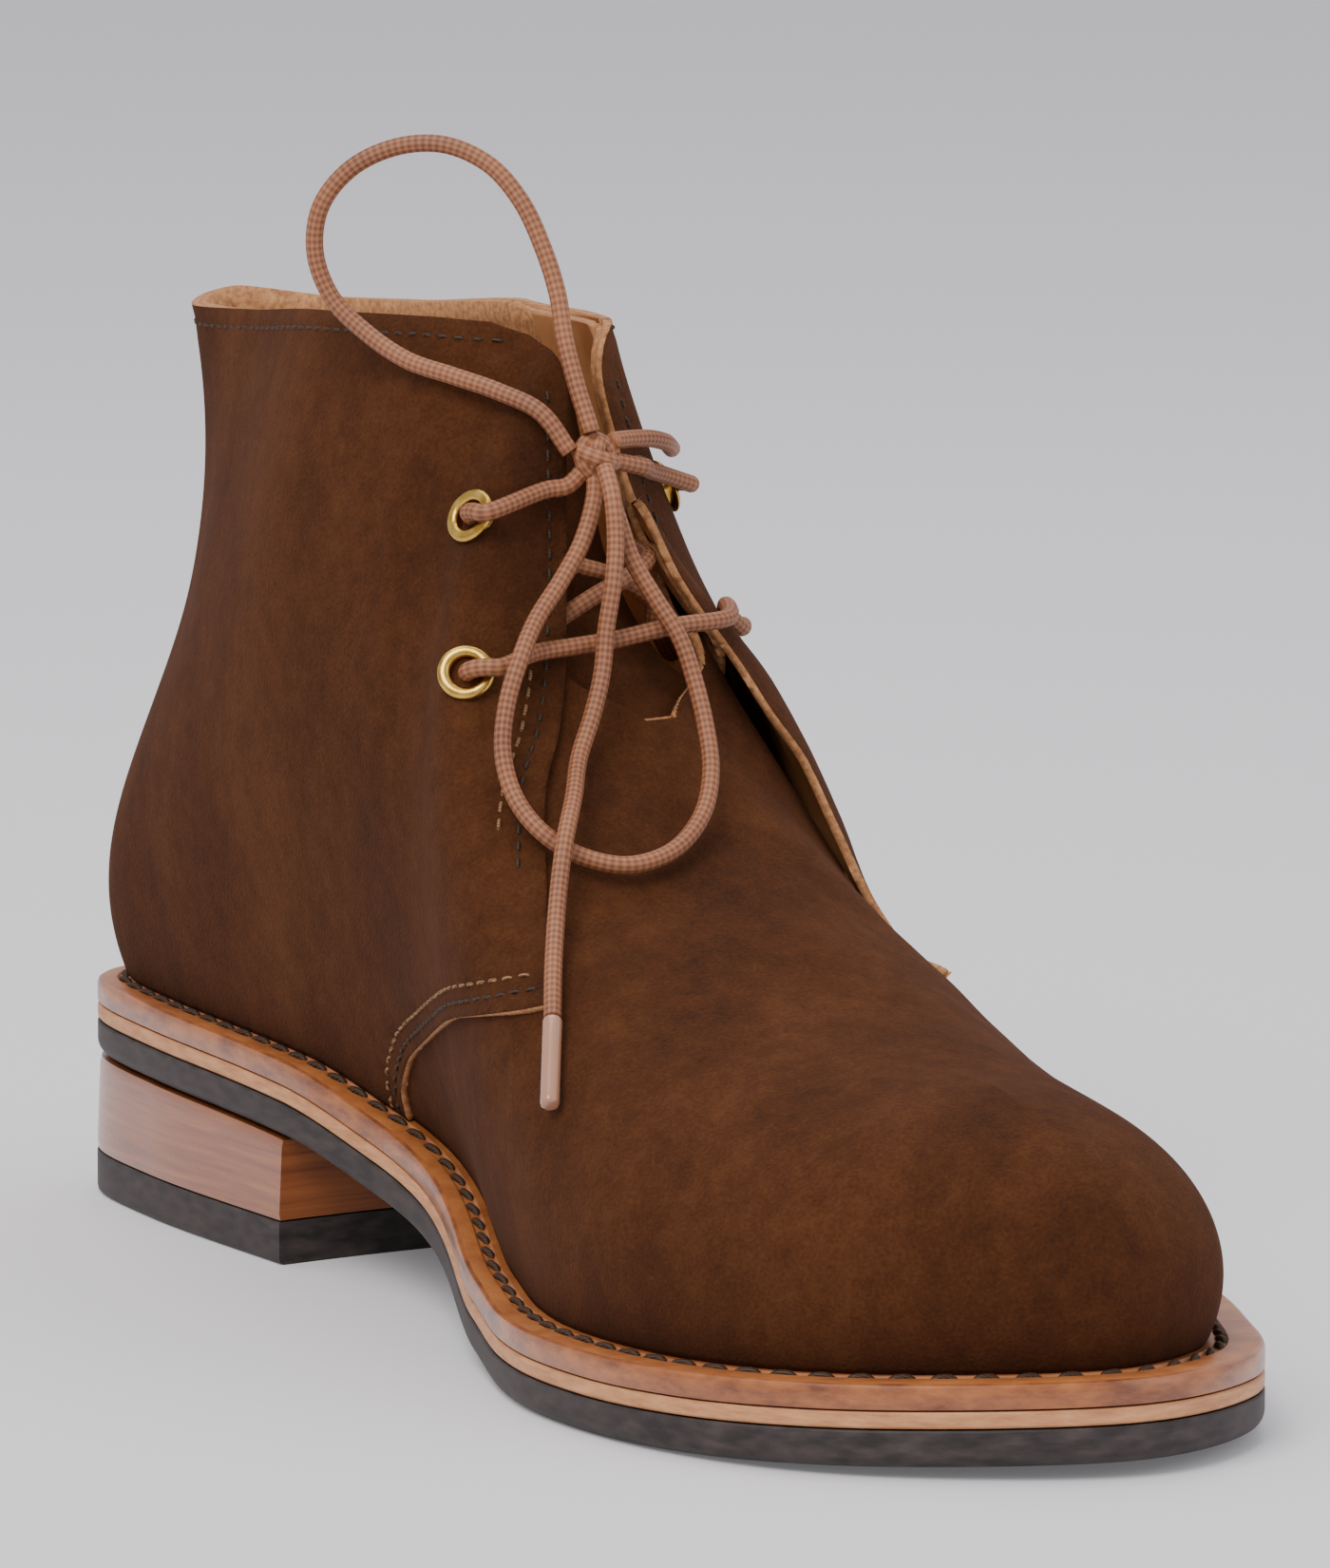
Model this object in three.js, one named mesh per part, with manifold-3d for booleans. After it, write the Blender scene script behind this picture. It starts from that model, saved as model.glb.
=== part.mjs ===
// A left chukka boot: a suede derby with two pairs of eyelets, welted to a
// leather and rubber sole with a stacked heel. Millimetres, +Z up. The toe
// points along -Y and the lateral side along +X. The origin is the middle of
// the heel's ground face.
import * as THREE from "three";
import { mergeVertices } from "three/addons/utils/BufferGeometryUtils.js";
import Module from "manifold-3d";

const wasm = await Module();
wasm.setup();

// Sizes of the last
const LENGTH = 302; // sole, from heel to toe
const BALL_WIDTH = 115; // sole, across the ball
const COLLAR_HEIGHT = 115; // top edge above the seat, at the heel
const INSTEP_HEIGHT = 64; // ridge above the seat, over the instep
const TOE_SPRING = 2.5; // rise of the toe off the floor

// Sole, from the ground up
const HEEL_LENGTH = 87; // from the back to the breast
const BREAST_CURVE = 2.5; // hollow of the breast
const HEEL_INSET = 0.4; // top of the heel inside the sole's edge
const HEEL_SPREAD = 0.6; // heel wider at the ground
const LIFT_CHAMFER = 1; // rounded edge of the top lift
const TOP_LIFT = 7;
const HEEL_STACK = 15.4;
const OUTSOLE = 5.8;
const MIDSOLE = 2.5;
const WELT = 3.9;
const EDGE_ROUND = 0.7; // rounding of the welt's and the outsole's edge
const MARGIN_HEEL = 6.5; // welt beyond the upper, heel and waist
const MARGIN_TOE = 9.5; // welt beyond the upper, at the toe
const WELT_LAP = 1.5; // welt that reaches inside the upper's wall
const INSOLE = 3.6;

// Upper
const VAMP_WALL = 1.8; // wall below the quarters, with its lining
const QUARTER_STEP = 1.2; // quarters stand proud of the vamp
const QUARTER_LAP = 0.6; // depth of the quarters in the wall
const FLARE_OUTER = 5; // lateral facing stands off the vamp
const FLARE_INNER = 0.5; // medial facing stands off the vamp
const FLARE_REACH = 28; // how far back a facing starts to lift
const TONGUE_WALL = 1.8;

// Eyelets and lace
const EYELET_WIDTH = 9; // across the flange
const EYELET_HOLE = 5;
const EYELET_WALL = 0.6;
const EYELET_FLANGE = 0.9; // thickness of the flange
const EYELET_LIP = 7.4; // across the clenched lip inside
const LINING = 1; // room for the lining between the wall and the lip
const EYELET_SEGMENTS = 14;
const LACE = 2.8;
const LACE_SIDES = 8;
const AGLET = 3.1;
const KNOT = 8.6; // across the knot

// Fits
const GAP = 0.3; // between pieces that touch

const PERCENT = 0.01;
const HEEL_LIFT = TOP_LIFT + HEEL_STACK + 2 * GAP;
const SOLE_EDGE = OUTSOLE + MIDSOLE + WELT + 2 * GAP;
const ORIGIN_ALONG = HEEL_LENGTH / 2;

// Names the columns of a table: one object for each row.
function table(columns, rows) {
  return rows.map((row) => Object.fromEntries(columns.map((name, i) => [name, row[i]])));
}

// Edge of the sole, heel back, medial side, toe, lateral side. Along is percent
// of LENGTH, across percent of BALL_WIDTH.
const OUTLINE = table(
  ["along", "across"],
  [
    [0, -5],
    [2.9, -23],
    [13, -28],
    [28, -28],
    [44, -26.5],
    [59.5, -39.5],
    [72, -47.5],
    [84.5, -43.5],
    [94, -28],
    [100, 1.5],
    [96, 26],
    [86, 40.5],
    [73, 51.5],
    [58, 50.5],
    [43, 41.5],
    [28, 32.5],
    [13, 28],
    [3.4, 15.5],
  ],
);
const STATIONS = OUTLINE.length;
const TOE = STATIONS / 2;

// Underside of the outsole. Along is percent of LENGTH, heel percent of the
// heel's height and spring percent of TOE_SPRING.
const RISE = table(
  ["along", "heel", "spring"],
  [
    [-6, 100, 0],
    [0, 100, 0],
    [13, 98, 0],
    [28.5, 90, 0],
    [38, 66, 0],
    [50, 31, 0],
    [59.5, 8, 0],
    [66, 0, 0],
    [77, 0, 0],
    [85, 0, 20],
    [91, 0, 50],
    [100, 0, 100],
    [110, 0, 160],
  ],
);

// The last as strings from the feather line up to the collar or the ridge, one
// for each row, from heel back to toe tip. Along and lead are percent of
// LENGTH; medial, lateral, spread and bulge percent of BALL_WIDTH; height, drop
// and rise percent of the height named by the table. Rise and bulge are the
// string's handle at the feather line; lead, spread and drop its handle at the
// top.
const STRING_COLUMNS = [
  "station",
  "along",
  "medial",
  "lateral",
  "height",
  "lead",
  "spreadIn",
  "spreadOut",
  "drop",
  "riseIn",
  "riseOut",
  "bulgeIn",
  "bulgeOut",
];
const COLLAR_STRINGS = table(STRING_COLUMNS, [
  [0, 9, -9, -9, 100.5, 4.5, 0, 0, -46, 30, 30, 12, 12],
  [1, 12, -18, 2, 99.5, 4.5, -5, 0, -50, 29, 30, 12.5, 7],
  [2, 20.5, -20, 5, 101.5, 3, 9, 3, -48, 32, 30.5, 9.5, 2.5],
  [3, 32, -24.5, 5, 107, 0.5, 14.5, 8, -45, 35, 31, 9.5, 5],
  [4, 42, -18.5, 3.5, 114, 0, 18.5, 12, -42, 37.5, 28, 13.5, 8.5],
  [4.6, 46, -7, -7, 114.5, 0, 25, 2.5, -26, 37.5, 27, 12.5, 4.5],
]);
const RIDGE_STRINGS = table(STRING_COLUMNS, [
  [5.2, 49, -7, -7, 152, 0.5, 25.5, 4.5, -16, 64, 47, 10.5, 0],
  [5.6, 53, -5, -5, 123, 0.5, 25, 8.5, -8, 60, 47, 9, 0],
  [6, 59, -2.5, -2.5, 99, 0.5, 25, 14, -3, 53, 41.5, 9.5, 0.5],
  [6.5, 67, -0.5, -0.5, 83, 0.5, 27, 18, -1.5, 47, 35, 11.5, 2],
  [7, 74.5, 0, 0, 70.5, 0.5, 27, 20, 0, 43.5, 34.5, 9.5, 5.5],
  [8, 83, 0, 0, 63.5, 2.5, 25, 22, -1.5, 40.5, 36, 7.5, 10.5],
  [9, 87, 0, 0, 62.5, 8.5, 0, 0, -6, 36.5, 36.5, 7.5, 7.5],
]);
const RIDGE_START = COLLAR_STRINGS.at(-1).station;

// Front edges of the facings and of the vamp behind them, seen from the front.
// Height is percent of COLLAR_HEIGHT above the floor, flare percent of
// FLARE_OUTER and the rest percent of BALL_WIDTH.
const THROAT = table(
  ["height", "quarterIn", "quarterOut", "vampIn", "vampOut", "flare"],
  [
    [50.5, -35.5, 31.5, 0, 0, 0],
    [56, -33, 28.5, 0, 0, 5],
    [66, -28, 24, 0, 0, 55],
    [76.5, -23, 20.5, 0, 0, 90],
    [83.5, -18, 15.5, -4, 1, 100],
    [90.5, -14.5, 12, -14, 9.5, 80],
    [103, -11, 5.5, -14, 9, 40],
    [120, -9, 2, -12, 6, 25],
    [128.5, -8, 0.5, -11, 4, 25],
    [132, -9, 1.5, -11, 4, 25],
    [134.5, -11, 4, -11, 4, 25],
    [136, -15, 9, -15, 9, 25],
    [150, -18, 13, -18, 13, 25],
  ],
);

// Lower edge of the quarters, seen from the side. Along is percent of LENGTH
// and height percent of INSTEP_HEIGHT above the floor.
const QUARTER_EDGE = table(
  ["along", "height"],
  [
    [38.5, 20],
    [39, 48],
    [41.5, 60],
    [48, 72],
    [56, 83],
    [64, 91],
    [67, 95],
  ],
);

// Monotone cubic through a table's columns: no overshoot between rows, and flat
// beyond the first and last.
function smooth(xs, ys) {
  const step = xs.slice(1).map((x, i) => x - xs[i]);
  const slope = step.map((h, i) => (ys[i + 1] - ys[i]) / h);
  const tangent = xs.map((x, i) => {
    if (i === 0) return slope[0];
    if (i === xs.length - 1) return slope[i - 1];
    if (slope[i - 1] * slope[i] <= 0) return 0;
    const before = 2 * step[i] + step[i - 1];
    const after = step[i] + 2 * step[i - 1];
    return (before + after) / (before / slope[i - 1] + after / slope[i]);
  });
  return (at) => {
    const x = THREE.MathUtils.clamp(at, xs[0], xs.at(-1));
    const above = xs.findIndex((edge) => x < edge);
    const i = above < 0 ? xs.length - 2 : above - 1;
    const t = (x - xs[i]) / step[i];
    const u = 1 - t;
    return (
      (1 + 2 * t) * u * u * ys[i] +
      t * u * u * step[i] * tangent[i] +
      t * t * (3 - 2 * t) * ys[i + 1] -
      t * t * u * step[i] * tangent[i + 1]
    );
  };
}

// One column of a table against another, each scaled to millimetres.
function column(rows, from, fromSize, to, toSize) {
  return smooth(
    rows.map((row) => row[from] * fromSize * PERCENT),
    rows.map((row) => row[to] * toSize * PERCENT),
  );
}

const riseOfHeel = column(RISE, "along", LENGTH, "heel", HEEL_LIFT);
const riseOfToe = column(RISE, "along", LENGTH, "spring", TOE_SPRING);

// Height of the outsole's underside at a distance from the heel's back.
function underside(along) {
  return riseOfHeel(along) + riseOfToe(along);
}

// Height of the welt's top, on which the upper stands.
function seat(along) {
  return underside(along) + SOLE_EDGE;
}

// Point of the sole's edge at station q, a closed Catmull-Rom curve.
function edgePoint(q) {
  const i = Math.floor(q);
  const t = q - i;
  const weights = [
    (-t + 2 * t * t - t * t * t) / 2,
    (2 - 5 * t * t + 3 * t * t * t) / 2,
    (t + 4 * t * t - 3 * t * t * t) / 2,
    (-t * t + t * t * t) / 2,
  ];
  let along = 0;
  let across = 0;
  weights.forEach((weight, j) => {
    const row = OUTLINE[(i + j - 1 + 2 * STATIONS) % STATIONS];
    along += weight * row.along * LENGTH * PERCENT;
    across += weight * row.across * BALL_WIDTH * PERCENT;
  });
  return { along, across };
}

// Point of the sole's edge moved inwards by a margin.
function insetPoint(q, margin) {
  const delta = 0.01;
  const before = edgePoint(q - delta + STATIONS);
  const after = edgePoint(q + delta + STATIONS);
  const dAlong = after.along - before.along;
  const dAcross = after.across - before.across;
  const size = Math.hypot(dAlong, dAcross);
  const point = edgePoint(q);
  return {
    along: point.along - (margin * dAcross) / size,
    across: point.across + (margin * dAlong) / size,
    out: { along: dAcross / size, across: -dAlong / size },
  };
}

// Station counted from the heel's back, the same on both sides.
function stationOf(q) {
  return q <= TOE ? q : STATIONS - q;
}

// Width of the welt that shows beyond the upper.
function weltMargin(q) {
  const t = THREE.MathUtils.smoothstep(stationOf(q), TOE / 2, TOE);
  return MARGIN_HEEL + t * (MARGIN_TOE - MARGIN_HEEL);
}

// Each string as lengths in millimetres, for both sides.
const STRINGS = [
  ...COLLAR_STRINGS.map((row) => ({ ...row, size: COLLAR_HEIGHT })),
  ...RIDGE_STRINGS.map((row) => ({ ...row, size: INSTEP_HEIGHT })),
].map((row) => {
  const long = LENGTH * PERCENT;
  const wide = BALL_WIDTH * PERCENT;
  const high = row.size * PERCENT;
  return {
    station: row.station,
    along: row.along * long,
    height: seat(row.along * long) + row.height * high,
    lead: row.lead * long,
    drop: row.drop * high,
    medial: {
      across: row.medial * wide,
      spread: -row.spreadIn * wide,
      rise: row.riseIn * high,
      bulge: row.bulgeIn * wide,
    },
    lateral: {
      across: row.lateral * wide,
      spread: row.spreadOut * wide,
      rise: row.riseOut * high,
      bulge: row.bulgeOut * wide,
    },
  };
});

// A value of the strings as a smooth closed function of the station.
function around(value) {
  const medial = STRINGS.map((row) => [row.station, value(row, row.medial)]);
  const lateral = STRINGS.slice(1, -1)
    .reverse()
    .map((row) => [STATIONS - row.station, value(row, row.lateral)]);
  const turn = [...medial, ...lateral];
  const before = turn.slice(-3).map(([q, y]) => [q - STATIONS, y]);
  const after = turn.slice(0, 4).map(([q, y]) => [q + STATIONS, y]);
  const all = [...before, ...turn, ...after];
  return smooth(
    all.map(([q]) => q),
    all.map(([, y]) => y),
  );
}

const stringAlong = around((row) => row.along);
const stringHeight = around((row) => row.height);
const stringLead = around((row) => row.lead);
const stringDrop = around((row) => row.drop);
const stringAcross = around((row, side) => side.across);
const stringSpread = around((row, side) => side.spread);
const stringRise = around((row, side) => side.rise);
const stringBulge = around((row, side) => side.bulge);

// Top end of the string at station q. The two sides share the ridge.
function stringTop(q) {
  let across = stringAcross(q);
  if (stationOf(q) >= RIDGE_START) {
    across = (across + stringAcross(STATIONS - q)) / 2;
  }
  return { along: stringAlong(q), across, height: stringHeight(q) };
}

// Point of the last's surface: station q round the foot, v from the feather
// line, 0, to the top, 1. A cubic Bezier curve.
function lastPoint(q, v) {
  const foot = insetPoint(q, weltMargin(q));
  const top = stringTop(q);
  const bulge = stringBulge(q);
  const a = (1 - v) ** 3;
  const b = 3 * (1 - v) ** 2 * v;
  const c = 3 * (1 - v) * v * v;
  const d = v ** 3;
  const low = seat(foot.along);
  const across =
    a * foot.across +
    b * (foot.across + foot.out.across * bulge) +
    c * (top.across + stringSpread(q)) +
    d * top.across;
  const along =
    a * foot.along +
    b * (foot.along + foot.out.along * bulge) +
    c * (top.along + stringLead(q)) +
    d * top.along;
  const height =
    a * low + b * (low + stringRise(q)) + c * (top.height + stringDrop(q)) + d * top.height;
  return new THREE.Vector3(across, ORIGIN_ALONG - along, height);
}

// Outward normal of the last's surface on one side.
function sideNormal(q, v) {
  const delta = 0.002;
  const low = Math.max(v - delta, 0);
  const high = Math.min(v + delta, 1);
  const up = lastPoint(q, high).sub(lastPoint(q, low));
  const on = lastPoint((q + delta) % STATIONS, v).sub(
    lastPoint((q - delta + STATIONS) % STATIONS, v),
  );
  return on.cross(up).normalize();
}

// Outward normal, shared by both sides along the ridge.
function lastNormal(q, v) {
  const normal = sideNormal(q, v);
  if (v === 1 && stationOf(q) >= RIDGE_START) {
    normal.add(sideNormal((STATIONS - q) % STATIONS, v)).normalize();
  }
  return normal;
}

// Where a test that holds at the low end of a range stops holding.
function turningPoint(low, high, holds) {
  let [from, to] = [low, high];
  for (let i = 0; i < 40; i += 1) {
    const middle = (from + to) / 2;
    if (holds(middle)) from = middle;
    else to = middle;
  }
  return from;
}

// Station and v of the surface's point at a height, at a distance round the
// front from the ridge: negative on the medial side, positive on the lateral.
function lastAt(height, round) {
  const at = (k) => {
    const q = round < 0 ? k : STATIONS - k;
    return { q, v: turningPoint(0, 1, (v) => lastPoint(q, v).z < height) };
  };
  const step = 0.05;
  let k = turningPoint(RIDGE_START, TOE, (station) => lastPoint(station, 1).z > height);
  let here = at(k);
  let left = Math.abs(round);
  while (left > 0) {
    const next = at(k - step);
    const size = lastPoint(next.q, next.v).distanceTo(lastPoint(here.q, here.v));
    if (size > left) return at(k - (step * left) / size);
    left -= size;
    k -= step;
    here = next;
  }
  return here;
}

// A closed mesh as a manifold solid, from its points and its triangles' corners.
function solidFrom(vertices, triangles) {
  const geometry = new THREE.BufferGeometry();
  const positions = vertices.flatMap((point) => [point.x, point.y, point.z]);
  geometry.setAttribute("position", new THREE.Float32BufferAttribute(positions, 3));
  geometry.setIndex(triangles.flat());
  return solid(geometry);
}

// Closed geometry as a manifold solid, its doubles merged and its empty
// triangles dropped.
function solid(geometry) {
  const bare = geometry.clone();
  bare.deleteAttribute("normal");
  bare.deleteAttribute("uv");
  const merged = mergeVertices(bare, 1e-4);
  const index = merged.index.array;
  const kept = [];
  for (let i = 0; i < index.length; i += 3) {
    const [a, b, c] = [index[i], index[i + 1], index[i + 2]];
    if (a !== b && b !== c && c !== a) kept.push(a, b, c);
  }
  return new wasm.Manifold(
    new wasm.Mesh({
      numProp: 3,
      vertProperties: new Float32Array(merged.attributes.position.array),
      triVerts: new Uint32Array(kept),
    }),
  );
}

// Two triangles for a quad given by its corners in turn.
function quad(a, b, c, d) {
  return [
    [a, b, c],
    [a, c, d],
  ];
}

// Stations of the mesh round the foot. The ridge's first string is one of them.
const STEPS_AROUND = 72;
const STEPS_UP = 9;
const GRID = Array.from({ length: STEPS_AROUND }, (_, i) => {
  const q = (i * STATIONS) / STEPS_AROUND;
  const nearest = STATIONS / STEPS_AROUND / 2;
  if (Math.abs(q - RIDGE_START) < nearest) return RIDGE_START;
  if (Math.abs(STATIONS - q - RIDGE_START) < nearest) return STATIONS - RIDGE_START;
  return q;
});

// Number of the grid's point at column i and step j. Along the ridge the
// lateral side uses the medial side's points.
function gridPoint(i, j) {
  const column = i % GRID.length;
  const ridge = j === STEPS_UP && stationOf(GRID[column]) >= RIDGE_START;
  const shared = ridge && GRID[column] > TOE ? GRID.length - column : column;
  return shared * (STEPS_UP + 1) + j;
}

// A wall that follows the last, between two offsets from its surface. It is
// open underneath and at the collar.
function lastWall(outer, inner) {
  const vertices = [];
  for (const offset of [outer, inner]) {
    for (const q of GRID) {
      for (let j = 0; j <= STEPS_UP; j += 1) {
        const v = j / STEPS_UP;
        const point = lastPoint(q, v);
        const shift = lastNormal(q, v).multiplyScalar(offset(q, point));
        point.add(shift);
        if (j === 0) point.z = seat(ORIGIN_ALONG - point.y) + GAP;
        vertices.push(point);
      }
    }
  }
  const half = vertices.length / 2;
  const triangles = [];
  GRID.forEach((q, i) => {
    for (let j = 0; j < STEPS_UP; j += 1) {
      const corners = [
        gridPoint(i, j),
        gridPoint(i + 1, j),
        gridPoint(i + 1, j + 1),
        gridPoint(i, j + 1),
      ];
      const [a, b, c, d] = corners;
      triangles.push(...quad(a, b, c, d));
      triangles.push(...quad(half + a, half + d, half + c, half + b));
    }
    const foot = [gridPoint(i, 0), gridPoint(i + 1, 0)];
    triangles.push(...quad(foot[1], foot[0], half + foot[0], half + foot[1]));
    const joined = [q, GRID[(i + 1) % GRID.length]].every((at) => stationOf(at) >= RIDGE_START);
    if (!joined) {
      const top = [gridPoint(i, STEPS_UP), gridPoint(i + 1, STEPS_UP)];
      triangles.push(...quad(top[0], top[1], half + top[1], half + top[0]));
    }
  });
  return solidFrom(vertices, triangles);
}

// A throat edge at a height, as a distance across.
function throatEdge(name, size) {
  return column(THROAT, "height", COLLAR_HEIGHT, name, size);
}

const quarterIn = throatEdge("quarterIn", BALL_WIDTH);
const quarterOut = throatEdge("quarterOut", BALL_WIDTH);
const flareAt = throatEdge("flare", FLARE_OUTER);
const FLARE_START = { from: 32, full: 45 }; // facings begin to lift, percent of LENGTH

// How far a facing stands off the last, most at its edge.
function flare(q, point) {
  const medial = q <= TOE;
  const edge = medial ? quarterIn(point.z) : quarterOut(point.z);
  const back = medial ? edge - point.x : point.x - edge;
  const near = 1 - THREE.MathUtils.clamp(back / FLARE_REACH, 0, 1);
  const most = flareAt(point.z) * (medial ? FLARE_INNER / FLARE_OUTER : 1);
  const start = THREE.MathUtils.smoothstep(
    ORIGIN_ALONG - point.y,
    FLARE_START.from * LENGTH * PERCENT,
    FLARE_START.full * LENGTH * PERCENT,
  );
  return most * near * near * start;
}

// Height of the quarters' outer face above the last.
function quarterFace(q, point) {
  return QUARTER_STEP + flare(q, point);
}

// A prism through the boot from front to back, of a shape drawn across and up.
function frontPrism(shape, fromAlong, toAlong) {
  const geometry = new THREE.ExtrudeGeometry(shape, {
    depth: toAlong - fromAlong,
    bevelEnabled: false,
    curveSegments: 6,
  });
  geometry.rotateX(Math.PI / 2);
  geometry.translate(0, ORIGIN_ALONG - fromAlong, 0);
  return solid(geometry);
}

// A prism through the boot from side to side, of a shape drawn along and up.
function sidePrism(points, halfWidth) {
  const shape = new THREE.Shape(
    points.map((point) => new THREE.Vector2(ORIGIN_ALONG - point.along, point.height)),
  );
  const geometry = new THREE.ExtrudeGeometry(shape, {
    depth: 2 * halfWidth,
    bevelEnabled: false,
  });
  const axes = new THREE.Matrix4().makeBasis(
    new THREE.Vector3(0, 1, 0),
    new THREE.Vector3(0, 0, 1),
    new THREE.Vector3(1, 0, 0),
  );
  geometry.applyMatrix4(axes);
  geometry.translate(-halfWidth, 0, 0);
  return solid(geometry);
}

// Outline of an opening between two columns of the throat's table.
function throatShape(inner, outer, rows) {
  const left = rows.map(
    (row) =>
      new THREE.Vector2(
        row[inner] * BALL_WIDTH * PERCENT,
        row.height * COLLAR_HEIGHT * PERCENT,
      ),
  );
  const right = rows.map(
    (row) =>
      new THREE.Vector2(
        row[outer] * BALL_WIDTH * PERCENT,
        row.height * COLLAR_HEIGHT * PERCENT,
      ),
  );
  return new THREE.Shape([...left, ...right.reverse()]);
}

// Where the cuts of the throat start, behind both facings.
const THROAT_BACK = LENGTH * COLLAR_STRINGS[3].along * PERCENT;
// Below this height the quarters are cut only ahead of the foot of the throat.
const THROAT_FOOT = 0.55 * LENGTH;
const THROAT_STEP = 0.6 * COLLAR_HEIGHT;
const BEYOND = 1.2; // share of a size that reaches past the boot

// The upper: the vamp's wall all round, with the quarters as a step in it.
function upper() {
  const vampOpening = throatShape(
    "vampIn",
    "vampOut",
    THROAT.filter((row) => row.vampOut > 0),
  );
  const vamp = lastWall(
    () => 0,
    () => -VAMP_WALL,
  ).subtract(frontPrism(vampOpening, THROAT_BACK, LENGTH));
  const behindFoot = sidePrism(
    [
      { along: 0, height: 0 },
      { along: THROAT_FOOT, height: 0 },
      { along: THROAT_FOOT, height: THROAT_STEP },
      { along: 0, height: THROAT_STEP },
    ],
    BALL_WIDTH,
  );
  const quarterOpening = throatShape("quarterIn", "quarterOut", THROAT);
  const top = 2 * COLLAR_HEIGHT;
  const region = sidePrism(
    [
      ...QUARTER_EDGE.map((row) => ({
        along: row.along * LENGTH * PERCENT,
        height: row.height * INSTEP_HEIGHT * PERCENT,
      })),
      { along: LENGTH * BEYOND, height: QUARTER_EDGE.at(-1).height * INSTEP_HEIGHT * PERCENT },
      { along: LENGTH * BEYOND, height: top },
      { along: LENGTH * (1 - BEYOND), height: top },
      { along: LENGTH * (1 - BEYOND), height: 0 },
      { along: QUARTER_EDGE[0].along * LENGTH * PERCENT, height: 0 },
    ],
    BALL_WIDTH,
  );
  const quarters = lastWall(
    (q, point) => quarterFace(q, point),
    (q, point) => flare(q, point) - QUARTER_LAP,
  )
    .intersect(region)
    .subtract(frontPrism(quarterOpening, THROAT_BACK, LENGTH).subtract(behindFoot));
  const walls = vamp.add(quarters);
  return EYELETS.reduce((wall, row) => wall.subtract(eyeletHole(row)), walls);
}

// The tongue's outer face, a curved sheet behind the facings: close under the
// vamp at its foot, and lower behind the lace. Height is percent of
// COLLAR_HEIGHT above the floor. Its edges and middle are given across, percent
// of BALL_WIDTH, and along, percent of LENGTH.
const TONGUE = table(
  ["height", "medial", "medialAlong", "middle", "middleAlong", "lateral", "lateralAlong"],
  [
    [76.5, -14, 54, -3.5, 54.3, 9.5, 52.7],
    [83.5, -15.5, 51.5, -4.5, 51.9, 9.5, 50.5],
    [90.5, -16.5, 48.6, -5.5, 48.8, 5.9, 47.2],
    [97.5, -16.5, 46.8, -6.5, 47, 3, 45.7],
    [104.5, -16, 45.6, -7, 45.7, 1.8, 44.1],
    [113, -15, 45.4, -7.5, 45.4, 1, 43.4],
    [121.5, -14, 44.5, -7.5, 44.8, 0.5, 42.2],
    [128.5, -12.5, 43.4, -8, 44.2, 0, 41.7],
  ],
);
const TONGUE_UP = 12;
const TONGUE_ACROSS = 6;

function tongueEdge(place) {
  return {
    across: column(TONGUE, "height", COLLAR_HEIGHT, place, BALL_WIDTH),
    along: column(TONGUE, "height", COLLAR_HEIGHT, `${place}Along`, LENGTH),
  };
}

function tongue() {
  const sides = ["medial", "middle", "lateral"].map(tongueEdge);
  const foot = TONGUE[0].height * COLLAR_HEIGHT * PERCENT;
  const top = TONGUE.at(-1).height * COLLAR_HEIGHT * PERCENT;
  const face = (depth) =>
    Array.from({ length: TONGUE_UP + 1 }, (_, j) => {
      const height = THREE.MathUtils.lerp(foot, top, j / TONGUE_UP);
      const [medial, middle, lateral] = sides.map(
        (side) => new THREE.Vector2(side.across(height), side.along(height) - depth),
      );
      const bend = middle.clone().multiplyScalar(2);
      bend.sub(medial.clone().add(lateral).multiplyScalar(1 / 2));
      const arc = new THREE.QuadraticBezierCurve(medial, bend, lateral);
      return Array.from({ length: TONGUE_ACROSS + 1 }, (_, i) => {
        const point = arc.getPoint(i / TONGUE_ACROSS);
        return new THREE.Vector3(point.x, ORIGIN_ALONG - point.y, height);
      });
    });
  return sheet(face(0), face(TONGUE_WALL));
}

// A closed sheet between two grids of points, both with the same rows.
function sheet(outer, inner) {
  const wide = outer[0].length;
  const high = outer.length;
  const half = wide * high;
  const triangles = [];
  for (let j = 0; j < high - 1; j += 1) {
    for (let i = 0; i < wide - 1; i += 1) {
      const corner = j * wide + i;
      const [a, b, c, d] = [corner, corner + 1, corner + wide + 1, corner + wide];
      triangles.push(...quad(a, b, c, d), ...quad(half + a, half + d, half + c, half + b));
    }
    const [left, right] = [j * wide, j * wide + wide - 1];
    triangles.push(...quad(left, left + wide, half + left + wide, half + left));
    triangles.push(...quad(right + wide, right, half + right, half + right + wide));
  }
  for (let i = 0; i < wide - 1; i += 1) {
    const top = (high - 1) * wide + i;
    triangles.push(...quad(i + 1, i, half + i, half + i + 1));
    triangles.push(...quad(top, top + 1, half + top + 1, half + top));
  }
  return solidFrom([...outer.flat(), ...inner.flat()], triangles);
}

// Eyelets, two a side. Height is percent of COLLAR_HEIGHT above the floor and
// round the distance from the ridge, percent of BALL_WIDTH.
const EYELETS = table(
  ["name", "height", "round"],
  [
    ["eyelet_medial_upper", 110.5, -15.9],
    ["eyelet_medial_lower", 90.5, -22.5],
    ["eyelet_lateral_upper", 110.5, 27.5],
    ["eyelet_lateral_lower", 90.5, 36],
  ],
);

// Place on the boot's front: its point on the last, the normal there and the
// height of the quarters' face above it.
function frontPlace(row) {
  const at = lastAt(
    row.height * COLLAR_HEIGHT * PERCENT,
    row.round * BALL_WIDTH * PERCENT,
  );
  const point = lastPoint(at.q, at.v);
  return { point, normal: lastNormal(at.q, at.v), face: quarterFace(at.q, point) };
}

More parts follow.
